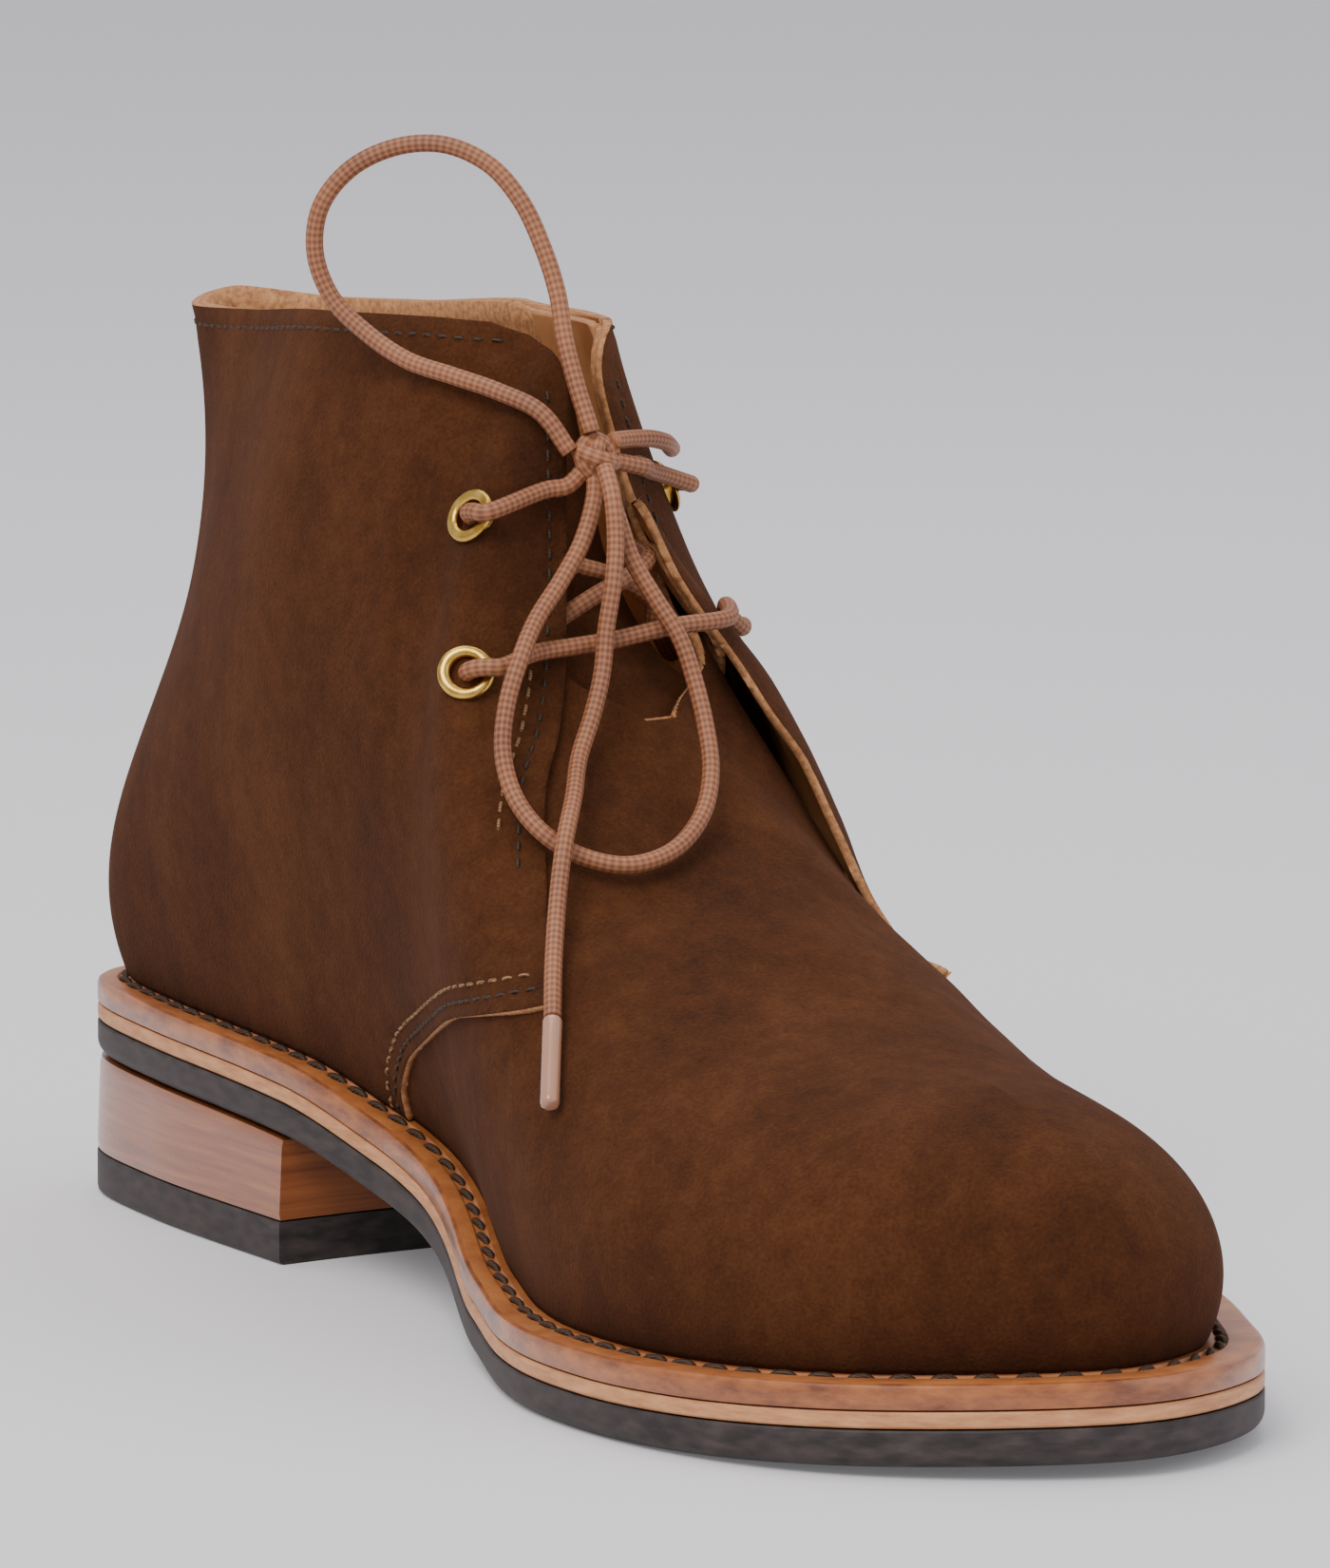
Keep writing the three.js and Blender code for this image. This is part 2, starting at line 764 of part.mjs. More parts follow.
// Turns and moves a shape made round the Y axis so that it sits in an eyelet's
// place, with its own zero at the quarters' face.
function seatEyelet(geometry, spot) {
  const turn = new THREE.Quaternion().setFromUnitVectors(
    new THREE.Vector3(0, 1, 0),
    spot.normal,
  );
  geometry.applyQuaternion(turn);
  const centre = spot.point.clone().addScaledVector(spot.normal, spot.face);
  geometry.translate(centre.x, centre.y, centre.z);
  return solid(geometry);
}

const EYELET_BARREL = EYELET_HOLE / 2 + EYELET_WALL;
const EYELET_ROUND = EYELET_FLANGE / 3;

// Depth of the clenched lip below the quarters' face.
function lipDepth(spot) {
  return spot.face + VAMP_WALL + LINING;
}

// What an eyelet takes away from the wall, with room for its flange and lip.
function eyeletHole(row) {
  const spot = frontPlace(row);
  const barrel = EYELET_BARREL + GAP;
  const lip = EYELET_LIP / 2 + 3 * GAP;
  const flange = EYELET_WIDTH / 2 + GAP;
  const reach = 2 * lipDepth(spot);
  const profile = [
    [0, -reach],
    [lip, -reach],
    [lip, GAP - lipDepth(spot)],
    [barrel, GAP - lipDepth(spot)],
    [barrel, 0],
    [flange, 0],
    [flange, reach],
    [0, reach],
  ].map(([x, y]) => new THREE.Vector2(x, y));
  return seatEyelet(new THREE.LatheGeometry(profile, EYELET_SEGMENTS), spot);
}

// A flange outside, a barrel through the wall and a clenched lip inside.
function eyelet(row) {
  const spot = frontPlace(row);
  const hole = EYELET_HOLE / 2;
  const flange = EYELET_WIDTH / 2;
  const lip = EYELET_LIP / 2;
  const top = GAP + EYELET_FLANGE;
  const inside = -lipDepth(spot);
  const bottom = inside - EYELET_WALL;
  const profile = [
    [hole, top - EYELET_ROUND],
    [hole, bottom + EYELET_ROUND],
    [hole + EYELET_ROUND, bottom],
    [lip, bottom],
    [lip, inside],
    [EYELET_BARREL, inside],
    [EYELET_BARREL, GAP],
    [flange - EYELET_ROUND, GAP],
    [flange, GAP + EYELET_ROUND],
    [flange - EYELET_ROUND, top - EYELET_ROUND / 2],
    [(flange + hole) / 2, top],
    [hole + EYELET_ROUND, top - EYELET_ROUND / 2],
    [hole, top - EYELET_ROUND],
  ].map(([x, y]) => new THREE.Vector2(x, y));
  return seatEyelet(new THREE.LatheGeometry(profile, EYELET_SEGMENTS), spot);
}

// The lace's way through an eyelet, from the outside to the inside. Towards is
// the distance from the hole's middle to the throat. Layer 1 is over the
// quarters' face, 0 over the open throat and -1 under the vamp's wall, and
// clear is the distance from it to the middle of the lace, all in millimetres.
const EYELET_TURN = table(
  ["towards", "layer", "clear"],
  [
    [5.4, 1, 2.9],
    [3.3, 1, 2.95],
    [1.4, 1, 2.3],
    [0.3, 1, 1],
    [0, 1, -1],
    [0, -1, 0.2],
    [0.3, -1, 1.8],
    [1.3, -1, 3.4],
    [3, -1, 4.5],
  ],
);

// The lace between the eyelets. Height is percent of COLLAR_HEIGHT above the
// floor and round the distance from the ridge, percent of BALL_WIDTH. Layer and
// clear are as in the turn through an eyelet.
const LACE_COLUMNS = ["height", "round", "layer", "clear"];
const FROM_KNOT = table(LACE_COLUMNS, [
  [114.2, -3.4, 1, 3],
  [113.8, -6.6, 1, 2.3],
]);
const FIRST_CROSSING = table(LACE_COLUMNS, [
  [108, -9.4, -1, 4.9],
  [104.8, -2, 0, -3.4],
  [102, 6.2, 0, -3.3],
  [99.5, 12.4, 0, -3.4],
  [96.8, 19, -1, 2.4],
  [94, 26, -1, 3],
]);
const LOWER_BAR = table(LACE_COLUMNS, [
  [92.8, 27, 1, 2.3],
  [93.2, 21, 1, 2.7],
  [93.2, 14, 1, 2.9],
  [92.8, 6, 1, 3],
  [92.4, -1, 1, 3.2],
  [92.1, -7, 1, 2.6],
  [91.8, -13, 1, 2.3],
]);
const SECOND_CROSSING = table(LACE_COLUMNS, [
  [93.4, -14.6, -1, 2.6],
  [96.8, -6.5, 0, -3.6],
  [99.6, 0.4, 0, -1.3],
  [102, 6.2, 0, 0.1],
  [104.2, 11.4, 0, -0.8],
  [106.4, 16.6, 0, -3.2],
  [108.4, 21.6, -1, 3],
]);
const TO_KNOT = table(LACE_COLUMNS, [
  [113, 19.5, 1, 2.3],
  [114, 14.5, 1, 2.3],
  [114.4, 9.6, 1, 2.8],
  [114.4, 6.2, 1, 3.2],
]);
const LACING_STEPS = 96;

// Height of a layer of the front above the last.
function layerHeight(layer, spot) {
  if (layer > 0) return spot.face;
  return layer < 0 ? -VAMP_WALL : 0;
}

function laceRun(rows) {
  return rows.map((row) => {
    const spot = frontPlace(row);
    const side = row.layer < 0 ? -1 : 1;
    const height = layerHeight(row.layer, spot) + side * row.clear;
    return spot.point.addScaledVector(spot.normal, height);
  });
}

function laceTurn(name) {
  const row = EYELETS.find((eyeletRow) => eyeletRow.name === name);
  const spot = frontPlace(row);
  const level = new THREE.Vector3(0, 0, 1).cross(spot.normal).normalize();
  if (level.x * row.round > 0) level.negate();
  return EYELET_TURN.map((step) => {
    const side = step.layer < 0 ? -1 : 1;
    const height = layerHeight(step.layer, spot) + side * step.clear;
    return spot.point
      .clone()
      .addScaledVector(spot.normal, height)
      .addScaledVector(level, step.towards);
  });
}

// A round cord along points, as one solid.
function cord(points, thickness, steps) {
  const section = new THREE.Shape(
    Array.from({ length: LACE_SIDES }, (_, i) => {
      const angle = (2 * Math.PI * i) / LACE_SIDES;
      return new THREE.Vector2(Math.cos(angle), Math.sin(angle)).multiplyScalar(thickness / 2);
    }),
  );
  const geometry = new THREE.ExtrudeGeometry(section, {
    steps,
    extrudePath: new THREE.CatmullRomCurve3(points, false, "centripetal"),
  });
  return solid(geometry);
}

// The tied lace outside the eyelets. Each point is across, along the boot from
// the heel's middle to the toe, and up, all in millimetres.
const LACE_POINT = ["across", "ahead", "up"];
const KNOT_MIDDLE = table(LACE_POINT, [[-7.6, 105.7, 136.5]]);
const LOOP_UPPER = table(LACE_POINT, [
  [-12, 105.5, 137.5],
  [-15.5, 102.5, 143.5],
  [-20, 96.5, 146.5],
  [-24.5, 90, 148.5],
  [-29, 83, 150.5],
  [-33, 76.5, 154.5],
  [-36.5, 72, 159.5],
  [-38.5, 70, 166.5],
  [-38, 71, 174],
  [-34, 73.5, 180],
  [-28, 77.5, 183.5],
  [-22, 82.5, 184],
  [-16.5, 87, 181],
  [-13, 91, 175.5],
  [-11, 94.5, 168.5],
  [-10, 97.5, 161.5],
  [-10, 100, 154.5],
  [-9.5, 103, 147.5],
  [-8.5, 106, 140.5],
]);
const LOOP_LOWER = table(LACE_POINT, [
  [-9, 108, 130.5],
  [-12.5, 110.5, 124],
  [-17.5, 113, 118.5],
  [-23.5, 116, 113],
  [-28.5, 120, 107.5],
  [-31.5, 121.5, 101],
  [-33.5, 124, 94],
  [-33.5, 128, 87.5],
  [-31.5, 133.5, 82.5],
  [-26.5, 136.5, 79],
  [-20, 139.5, 77.5],
  [-11.5, 138.5, 79],
  [-4.5, 135, 83.5],
  [-0.5, 130.5, 89.5],
  [1, 126, 96],
  [1, 122.5, 102.5],
  [0, 119.5, 109],
  [-2.5, 116, 115],
  [-5, 113, 121],
  [-6, 110, 127.5],
]);
const END_MEDIAL = table(LACE_POINT, [
  [-8.5, 113, 131],
  [-9, 115, 124.5],
  [-10.5, 117, 118],
  [-12, 117.5, 111],
  [-13.5, 119, 104.5],
  [-16.5, 121.5, 98.5],
  [-21, 125.5, 92.5],
  [-25.5, 132.2, 87.5],
  [-30.5, 138.8, 82],
  [-33.5, 142.5, 75.5],
  [-36.5, 147, 69.5],
  [-39.5, 152, 64],
  [-42.5, 157.5, 58],
]);
const AGLET_TIP = table(LACE_POINT, [[-48.5, 168, 46.5]]);
const END_LATERAL = table(LACE_POINT, [
  [-3.5, 105, 139],
  [0.5, 102.5, 138.5],
  [5, 100, 138],
  [9, 97, 137],
  [12, 93, 136],
  [14.5, 89, 135],
  [17, 85, 134],
]);
const LOOP_STEPS = 20;
const END_STEPS = 15;
const SHORT_END_STEPS = 5;

function lacePoints(rows) {
  return rows.map((row) => new THREE.Vector3(row.across, -row.ahead, row.up));
}

// Wraps of the knot: how far each leans and turns, in degrees.
const KNOT_SEGMENTS = 12;
const WRAPS = table(
  ["lean", "turn"],
  [
    [20, 75],
    [75, 10],
  ],
);

// The knot: a core with two wraps round it, all grown by a size.
function knot(grow) {
  const core = KNOT / 2 - LACE / 2;
  const shapes = [
    new THREE.SphereGeometry(core + grow, KNOT_SEGMENTS, KNOT_SEGMENTS / 2),
    ...WRAPS.map((row) => {
      const wrap = new THREE.TorusGeometry(core, LACE / 2 + grow, LACE_SIDES, KNOT_SEGMENTS);
      wrap.rotateX(THREE.MathUtils.degToRad(row.lean));
      wrap.rotateZ(THREE.MathUtils.degToRad(row.turn));
      return wrap;
    }),
  ];
  const [middle] = lacePoints(KNOT_MIDDLE);
  return shapes
    .map((shape) => solid(shape.translate(middle.x, middle.y, middle.z)))
    .reduce((joined, shape) => joined.add(shape));
}

// A loose cord of the tied lace, cut to meet the knot.
function looseCord(rows, steps) {
  return cord(lacePoints(rows), LACE, steps).subtract(knot(GAP));
}

function aglet() {
  const [from] = lacePoints(END_MEDIAL.slice(-1));
  const [tip] = lacePoints(AGLET_TIP);
  const start = from.clone().addScaledVector(tip.clone().sub(from).normalize(), GAP);
  return cord([start, tip], AGLET, 2);
}

// A point on the way from the knot's middle to another, inside the knot.
function insideKnot(point) {
  const [middle] = lacePoints(KNOT_MIDDLE);
  return middle.clone().lerp(point, KNOT / 4 / middle.distanceTo(point));
}

// The lace between the eyelets, one solid from the knot through all four.
function lacing() {
  const from = laceRun(FROM_KNOT);
  const to = laceRun(TO_KNOT);
  const route = [
    insideKnot(from[0]),
    ...from,
    ...laceTurn("eyelet_medial_upper"),
    ...laceRun(FIRST_CROSSING),
    ...laceTurn("eyelet_lateral_lower").reverse(),
    ...laceRun(LOWER_BAR),
    ...laceTurn("eyelet_medial_lower"),
    ...laceRun(SECOND_CROSSING),
    ...laceTurn("eyelet_lateral_upper").reverse(),
    ...to,
    insideKnot(to.at(-1)),
  ];
  return cord(route, LACE, LACING_STEPS).subtract(knot(GAP));
}

// Across the sole's edge on each side, against its distance along.
const medialEdge = column(OUTLINE.slice(0, TOE + 1), "along", LENGTH, "across", BALL_WIDTH);
const lateralEdge = column(
  [OUTLINE[0], ...OUTLINE.slice(TOE).reverse()],
  "along",
  LENGTH,
  "across",
  BALL_WIDTH,
);
const SPINE = { from: 12, to: 86 }; // ends of the sole's middle line, percent of LENGTH

// Inner end, on the sole's middle line, of the rib at station q. Both sides
// share it.
function ribPoint(q, margin) {
  const sides = [q, (STATIONS - q) % STATIONS].map((at) => insetPoint(at, margin).along);
  const along = THREE.MathUtils.clamp(
    (sides[0] + sides[1]) / 2,
    SPINE.from * LENGTH * PERCENT,
    SPINE.to * LENGTH * PERCENT,
  );
  return { along, across: (medialEdge(along) + lateralEdge(along)) / 2 };
}

// A point in the boot's frame.
function place(point, height) {
  return new THREE.Vector3(point.across, ORIGIN_ALONG - point.along, height);
}

// A solid from rings of points, from the bottom to the top. Each end face is
// closed by ribs to a middle line, one point for each of the ring's.
function stacked(rings, bottomMiddle, topMiddle) {
  const count = rings[0].length;
  const middle = rings.length * count;
  const top = middle - count;
  const triangles = [];
  for (let i = 0; i < count; i += 1) {
    const next = (i + 1) % count;
    for (let low = 0; low < top; low += count) {
      triangles.push(...quad(low + i, low + next, low + count + next, low + count + i));
    }
    triangles.push(...quad(next, i, middle + i, middle + next));
    triangles.push(...quad(top + i, top + next, middle + count + next, middle + count + i));
  }
  return solidFrom([...rings.flat(), ...bottomMiddle, ...topMiddle], triangles);
}

// Points round the sole at a margin inside its edge and a height above its
// underside.
function soleEdge(ring) {
  return GRID.map((q) => {
    const point = insetPoint(q, ring.margin(q));
    return place(point, underside(point.along) + ring.height);
  });
}

// A layer of the sole, from the rings of its edge.
function soleLayer(rings) {
  const middle = (ring) =>
    GRID.map((q) => {
      const rib = ribPoint(q, ring.margin(q));
      return place(rib, underside(rib.along) + ring.height);
    });
  return stacked(rings.map(soleEdge), middle(rings[0]), middle(rings.at(-1)));
}

// A closed band round the sole, from the rings of its section.
function soleRing(rings) {
  const count = GRID.length;
  const triangles = [];
  rings.forEach((ring, j) => {
    const low = j * count;
    const high = ((j + 1) % rings.length) * count;
    for (let i = 0; i < count; i += 1) {
      const next = (i + 1) % count;
      triangles.push(...quad(low + i, low + next, high + next, high + i));
    }
  });
  return solidFrom(rings.flatMap(soleEdge), triangles);
}

// Inner edge of the welt, under the upper's wall.
function weltInside(q) {
  return weltMargin(q) + VAMP_WALL + WELT_LAP;
}

function outsole() {
  return soleLayer([
    { margin: () => 2 * EDGE_ROUND, height: 0 },
    { margin: () => 0, height: 2 * EDGE_ROUND },
    { margin: () => 0, height: OUTSOLE },
  ]);
}

function midsole() {
  const low = OUTSOLE + GAP;
  return soleLayer([
    { margin: () => 0, height: low },
    { margin: () => 0, height: low + MIDSOLE },
  ]);
}

function welt() {
  const low = OUTSOLE + MIDSOLE + 2 * GAP;
  return soleRing([
    { margin: () => 0, height: low },
    { margin: () => 0, height: low + WELT - EDGE_ROUND },
    { margin: () => EDGE_ROUND, height: low + WELT },
    { margin: weltInside, height: low + WELT },
    { margin: weltInside, height: low },
  ]);
}

function insole() {
  const low = OUTSOLE + MIDSOLE + 2 * GAP;
  const margin = (q) => weltInside(q) + GAP;
  return soleLayer([
    { margin, height: low },
    { margin, height: low + INSOLE },
  ]);
}

const HEEL_POINTS = 33; // round the heel's back, from breast to breast
const BREAST_STEPS = 5;
const HEEL_SPINE = { from: 35, to: 90 }; // ends of its middle line, percent of HEEL_LENGTH

// Edge of the heel as seen from below: round the back, then across the breast.
function heelOutline(margin) {
  const ahead = (q) => insetPoint(q, margin).along < HEEL_LENGTH;
  const medial = turningPoint(1, TOE / 2, ahead);
  const lateral = turningPoint(1, TOE / 2, (k) => ahead(STATIONS - k));
  const points = [];
  for (let i = 0; i < HEEL_POINTS; i += 1) {
    const t = (2 * i) / (HEEL_POINTS - 1) - 1;
    const q = t < 0 ? STATIONS + t * lateral : t * medial;
    points.push(insetPoint(q, margin));
  }
  const start = points.at(-1);
  const end = points[0];
  for (let i = 1; i < BREAST_STEPS; i += 1) {
    const t = i / BREAST_STEPS;
    points.push({
      along: HEEL_LENGTH - 4 * BREAST_CURVE * t * (1 - t),
      across: start.across + t * (end.across - start.across),
    });
  }
  return points;
}

// A piece of the heel, from the rings of its edge.
function heelLayer(rings) {
  const from = HEEL_SPINE.from * HEEL_LENGTH * PERCENT;
  const to = HEEL_SPINE.to * HEEL_LENGTH * PERCENT;
  const outline = (ring) =>
    heelOutline(ring.margin).map((point) => place(point, ring.height(point.along)));
  const middle = (ring) => {
    const edge = heelOutline(ring.margin);
    return edge.map((point, i) => {
      const other = edge[HEEL_POINTS - 1 - i];
      const along = other
        ? THREE.MathUtils.clamp((point.along + other.along) / 2, from, to)
        : to;
      return place({ along, across: 0 }, ring.height(along));
    });
  };
  return stacked(rings.map(outline), middle(rings[0]), middle(rings.at(-1)));
}

function heelLift() {
  const ground = HEEL_INSET - HEEL_SPREAD;
  return heelLayer([
    { margin: ground + LIFT_CHAMFER, height: () => 0 },
    { margin: ground, height: () => LIFT_CHAMFER },
    { margin: ground, height: () => TOP_LIFT },
  ]);
}

function heelStack() {
  return heelLayer([
    { margin: HEEL_INSET - HEEL_SPREAD, height: () => TOP_LIFT + GAP },
    { margin: HEEL_INSET, height: (along) => underside(along) - GAP },
  ]);
}

// A solid as a named mesh with its own material.
function piece(name, made, color, roughness, metalness) {
  const mesh = made.getMesh();
  const geometry = new THREE.BufferGeometry();
  geometry.setAttribute("position", new THREE.BufferAttribute(mesh.vertProperties, 3));
  geometry.setIndex(new THREE.BufferAttribute(mesh.triVerts, 1));
  geometry.computeVertexNormals();
  const material = new THREE.MeshStandardMaterial({ color, roughness, metalness });
  const named = new THREE.Mesh(geometry, material);
  named.name = name;
  return named;
}

const SUEDE = "#6b4226";
const RUBBER = "#3a3432";
const STACK_LEATHER = "#9a5a30";
const WELT_LEATHER = "#b5713c";
const PALE_LEATHER = "#c98d5e";
const BRASS = "#c9a24a";
const LACE_TAN = "#a0694a";
const CLEAR_TIP = "#d8c9b4";

const boot = new THREE.Group();
boot.add(
  piece("heel_lift", heelLift(), RUBBER, 0.7, 0),
  piece("heel_stack", heelStack(), STACK_LEATHER, 0.35, 0),
  piece("outsole", outsole(), RUBBER, 0.7, 0),
  piece("midsole", midsole(), PALE_LEATHER, 0.5, 0),
  piece("welt", welt(), WELT_LEATHER, 0.45, 0),
  piece("insole", insole(), PALE_LEATHER, 0.6, 0),
  piece("upper", upper(), SUEDE, 0.95, 0),
  piece("tongue", tongue(), SUEDE, 0.95, 0),
  piece("lacing", lacing(), LACE_TAN, 0.6, 0),
  piece("lace_knot", knot(0), LACE_TAN, 0.6, 0),
  piece("lace_loop_upper", looseCord(LOOP_UPPER, LOOP_STEPS), LACE_TAN, 0.6, 0),
  piece("lace_loop_lower", looseCord(LOOP_LOWER, LOOP_STEPS), LACE_TAN, 0.6, 0),
  piece("lace_end_medial", looseCord(END_MEDIAL, END_STEPS), LACE_TAN, 0.6, 0),
  piece("lace_end_lateral", looseCord(END_LATERAL, SHORT_END_STEPS), LACE_TAN, 0.6, 0),
  piece("aglet_medial", aglet(), CLEAR_TIP, 0.25, 0),
);
for (const row of EYELETS) {
  boot.add(piece(row.name, eyelet(row), BRASS, 0.3, 1));
}

export default boot;
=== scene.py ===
# %% [markdown]
# # A suede chukka boot
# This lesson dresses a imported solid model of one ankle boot. The real boot is
# soft brown suede, drawn over a last and sewn to a leather welt. Its surfaces
# are worked out from the same named sizes as the solids, as functions on a
# grid, because that gives smooth panels that end where the solids end.

# %% Load the frame
import math

import bmesh
import bpy
import numpy as np
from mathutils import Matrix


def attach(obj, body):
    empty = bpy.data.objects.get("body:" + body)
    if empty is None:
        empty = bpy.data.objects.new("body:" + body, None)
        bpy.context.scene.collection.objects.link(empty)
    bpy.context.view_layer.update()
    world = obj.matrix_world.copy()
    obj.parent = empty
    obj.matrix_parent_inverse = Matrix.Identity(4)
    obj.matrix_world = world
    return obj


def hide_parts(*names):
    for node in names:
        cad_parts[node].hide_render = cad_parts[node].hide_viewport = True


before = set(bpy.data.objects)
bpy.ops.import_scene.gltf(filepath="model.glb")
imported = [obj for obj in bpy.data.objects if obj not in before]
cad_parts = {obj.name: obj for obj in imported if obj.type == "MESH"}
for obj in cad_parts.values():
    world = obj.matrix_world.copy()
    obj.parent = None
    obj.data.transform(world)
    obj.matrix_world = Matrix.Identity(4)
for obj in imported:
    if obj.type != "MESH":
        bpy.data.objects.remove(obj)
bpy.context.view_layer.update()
MM = 0.001
print("solids", len(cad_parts))

# %% [markdown]
# The boot was photographed with a long lens from about knee height, in front
# and a little to the medial side. The camera stands where that picture was
# taken and looks at the middle of the boot.

# %% Set up the camera
CAMERA_PLACE = np.array([-1005.93, -1992.33, 406.37]) * MM
CAMERA_YAW = 0.4618
CAMERA_PITCH = 0.1466
FOCAL_PIXELS = 7833
IMAGE_LONG = 1650
BOOT_PIXEL = (235, 23)  # the boot's middle, right of and below the picture's middle
CLOSER = 1.85  # the frame is drawn in round the boot
SENSOR = 36

view_yaw = CAMERA_YAW + math.atan(BOOT_PIXEL[0] / FOCAL_PIXELS)
view_pitch = CAMERA_PITCH + math.atan(BOOT_PIXEL[1] / FOCAL_PIXELS)
camera_data = bpy.data.cameras.new("camera")
camera_data.sensor_width = SENSOR
camera_data.lens = SENSOR * FOCAL_PIXELS / IMAGE_LONG * CLOSER
camera_data.clip_end = 20
camera = bpy.data.objects.new("camera", camera_data)
camera.location = CAMERA_PLACE
camera.rotation_euler = (math.pi / 2 - view_pitch, 0, -view_yaw)
bpy.context.scene.collection.objects.link(camera)
bpy.context.scene.camera = camera
print("lens", round(camera_data.lens, 1))

# %% [markdown]
# Every piece below ends in the same way: its points become a mesh, it gets a
# material, it rides on the boot's one body and, where it covers a solid, it
# stands for that. One helper does this, in millimetres until the last moment.

# %% Turn points into a piece
BODY = "root"


def make_piece(name, points, faces, material, nodes=(), slot=None, uv=None):
    """A mesh object from an array of points in millimetres and one of corner numbers."""
    mesh = bpy.data.meshes.new(name)
    mesh.from_pydata(np.asarray(points) * MM, [], [list(face) for face in faces])
    mesh.update()
    mesh.polygons.foreach_set("use_smooth", np.full(len(mesh.polygons), True))
    if uv is not None:
        corners = np.empty(len(mesh.loops), dtype=np.int32)
        mesh.loops.foreach_get("vertex_index", corners)
        layer = mesh.uv_layers.new(name="UVMap")
        layer.data.foreach_set("uv", np.asarray(uv)[corners].astype(np.float32).ravel())
    mesh.materials.append(material)
    piece = bpy.data.objects.new(name, mesh)
    bpy.context.scene.collection.objects.link(piece)
    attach(piece, BODY)
    if nodes:
        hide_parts(*nodes)
    return piece


# %% [markdown]
# Materials are small node trees. One function adds a node with its settings
# and links, and one turns an sRGB colour into the linear values Blender uses.

# %% Helpers for materials
def colour(hex_code):
    """Linear RGBA from an sRGB hex code: c / 12.92 below 0.04045, else ((c + 0.055) / 1.055) ** 2.4."""
    srgb = [int(hex_code[i : i + 2], 16) / 255 for i in (1, 3, 5)]
    linear = [c / 12.92 if c <= 0.04045 else ((c + 0.055) / 1.055) ** 2.4 for c in srgb]
    return (*linear, 1)


def add_node(tree, kind, inputs=None, **settings):
    """One node of a tree: settings are its properties, inputs its sockets' values or links."""
    made = tree.nodes.new(kind)
    for name, value in settings.items():
        setattr(made, name, value)
    for name, value in (inputs or {}).items():
        if isinstance(value, bpy.types.NodeSocket):
            tree.links.new(value, made.inputs[name])
        else:
            made.inputs[name].default_value = value
    return made


def new_material(name, **sockets):
    """A material with a Principled shader, whose sockets are set by name."""
    material = bpy.data.materials.new(name)
    material.use_nodes = True
    shader = material.node_tree.nodes["Principled BSDF"]
    for socket, value in sockets.items():
        shader.inputs[socket.replace("_", " ")].default_value = value
    return material, material.node_tree, shader


def add_ramp(tree, factor, stops):
    """A colour ramp through stops, each a place and a hex code."""
    ramp = add_node(tree, "ShaderNodeValToRGB", {"Fac": factor})
    elements = ramp.color_ramp.elements
    while len(elements) < len(stops):
        elements.new(0.5)
    for element, (place, hex_code) in zip(elements, stops):
        element.position = place
        element.color = colour(hex_code)
    return ramp.outputs["Color"]


print("material helpers ready")

# %% [markdown]
# The lace is a waxed round braid of cotton, 2.8 mm thick. Its strands cross in
# small diamonds, ten round the cord and a little over a millimetre long, which
# is coarser than the real braid so that it shows. The pattern follows the
# piece's own UV map, which runs round the cord and along it in millimetres.

# %% Lace and aglet materials
BRAID_STRANDS = 5
BRAID_LENGTH = 3.4  # along the cord, in mm
BRAID_WAVES = 1.5  # waves of one family in that length


def braid_material():
    """Two families of waves wind both ways round the cord; their product gives diamonds."""
    material, tree, shader = new_material("waxed_cotton_braid", Roughness=0.62)
    uv = add_node(tree, "ShaderNodeUVMap", uv_map="UVMap").outputs["UV"]
    parts = add_node(tree, "ShaderNodeSeparateXYZ", {0: uv})
    turn = add_node(tree, "ShaderNodeMath", {0: parts.outputs[0], 1: BRAID_STRANDS * math.tau},
                    operation="MULTIPLY").outputs[0]
    run = add_node(tree, "ShaderNodeMath", {0: parts.outputs[1], 1: math.tau / BRAID_LENGTH * BRAID_WAVES},
                   operation="MULTIPLY").outputs[0]
    waves = []
    for operation in ("ADD", "SUBTRACT"):
        phase = add_node(tree, "ShaderNodeMath", {0: turn, 1: run}, operation=operation).outputs[0]
        waves.append(add_node(tree, "ShaderNodeMath", {0: phase}, operation="SINE").outputs[0])
    diamond = add_node(tree, "ShaderNodeMath", {0: waves[0], 1: waves[1]}, operation="MULTIPLY").outputs[0]
    height = add_node(tree, "ShaderNodeMapRange", {0: diamond, 1: -1.0, 2: 1.0}).outputs[0]
    place = add_node(tree, "ShaderNodeTexCoord").outputs["Object"]
    patches = add_node(tree, "ShaderNodeTexNoise", {"Vector": place, "Scale": 60, "Detail": 3}).outputs[0]
    mixed = add_node(tree, "ShaderNodeMath", {0: height, 1: patches}, operation="ADD").outputs[0]
    half = add_node(tree, "ShaderNodeMath", {0: mixed, 1: 0.5}, operation="MULTIPLY").outputs[0]
    # The colour follows the braid's height and soft patches of tone: painted shade darkens the hollows
    # between the strands, and the crowns are lighter.
    tone = add_ramp(tree, half, [(0.2, "#5a321f"), (0.5, "#8a5536"), (0.8, "#a8714c")])
    tree.links.new(tone, shader.inputs["Base Color"])
    bump = add_node(tree, "ShaderNodeBump", {"Height": height, "Strength": 0.35, "Distance": 0.0002})
    tree.links.new(bump.outputs[0], shader.inputs["Normal"])
    return material


LACE_MATERIAL = braid_material()
AGLET_MATERIAL, _, _ = new_material(
    "acetate_tip", Base_Color=colour("#a8795f"), Roughness=0.22, Coat_Weight=0.7, Coat_Roughness=0.1
)
print("lace", LACE_MATERIAL.name)
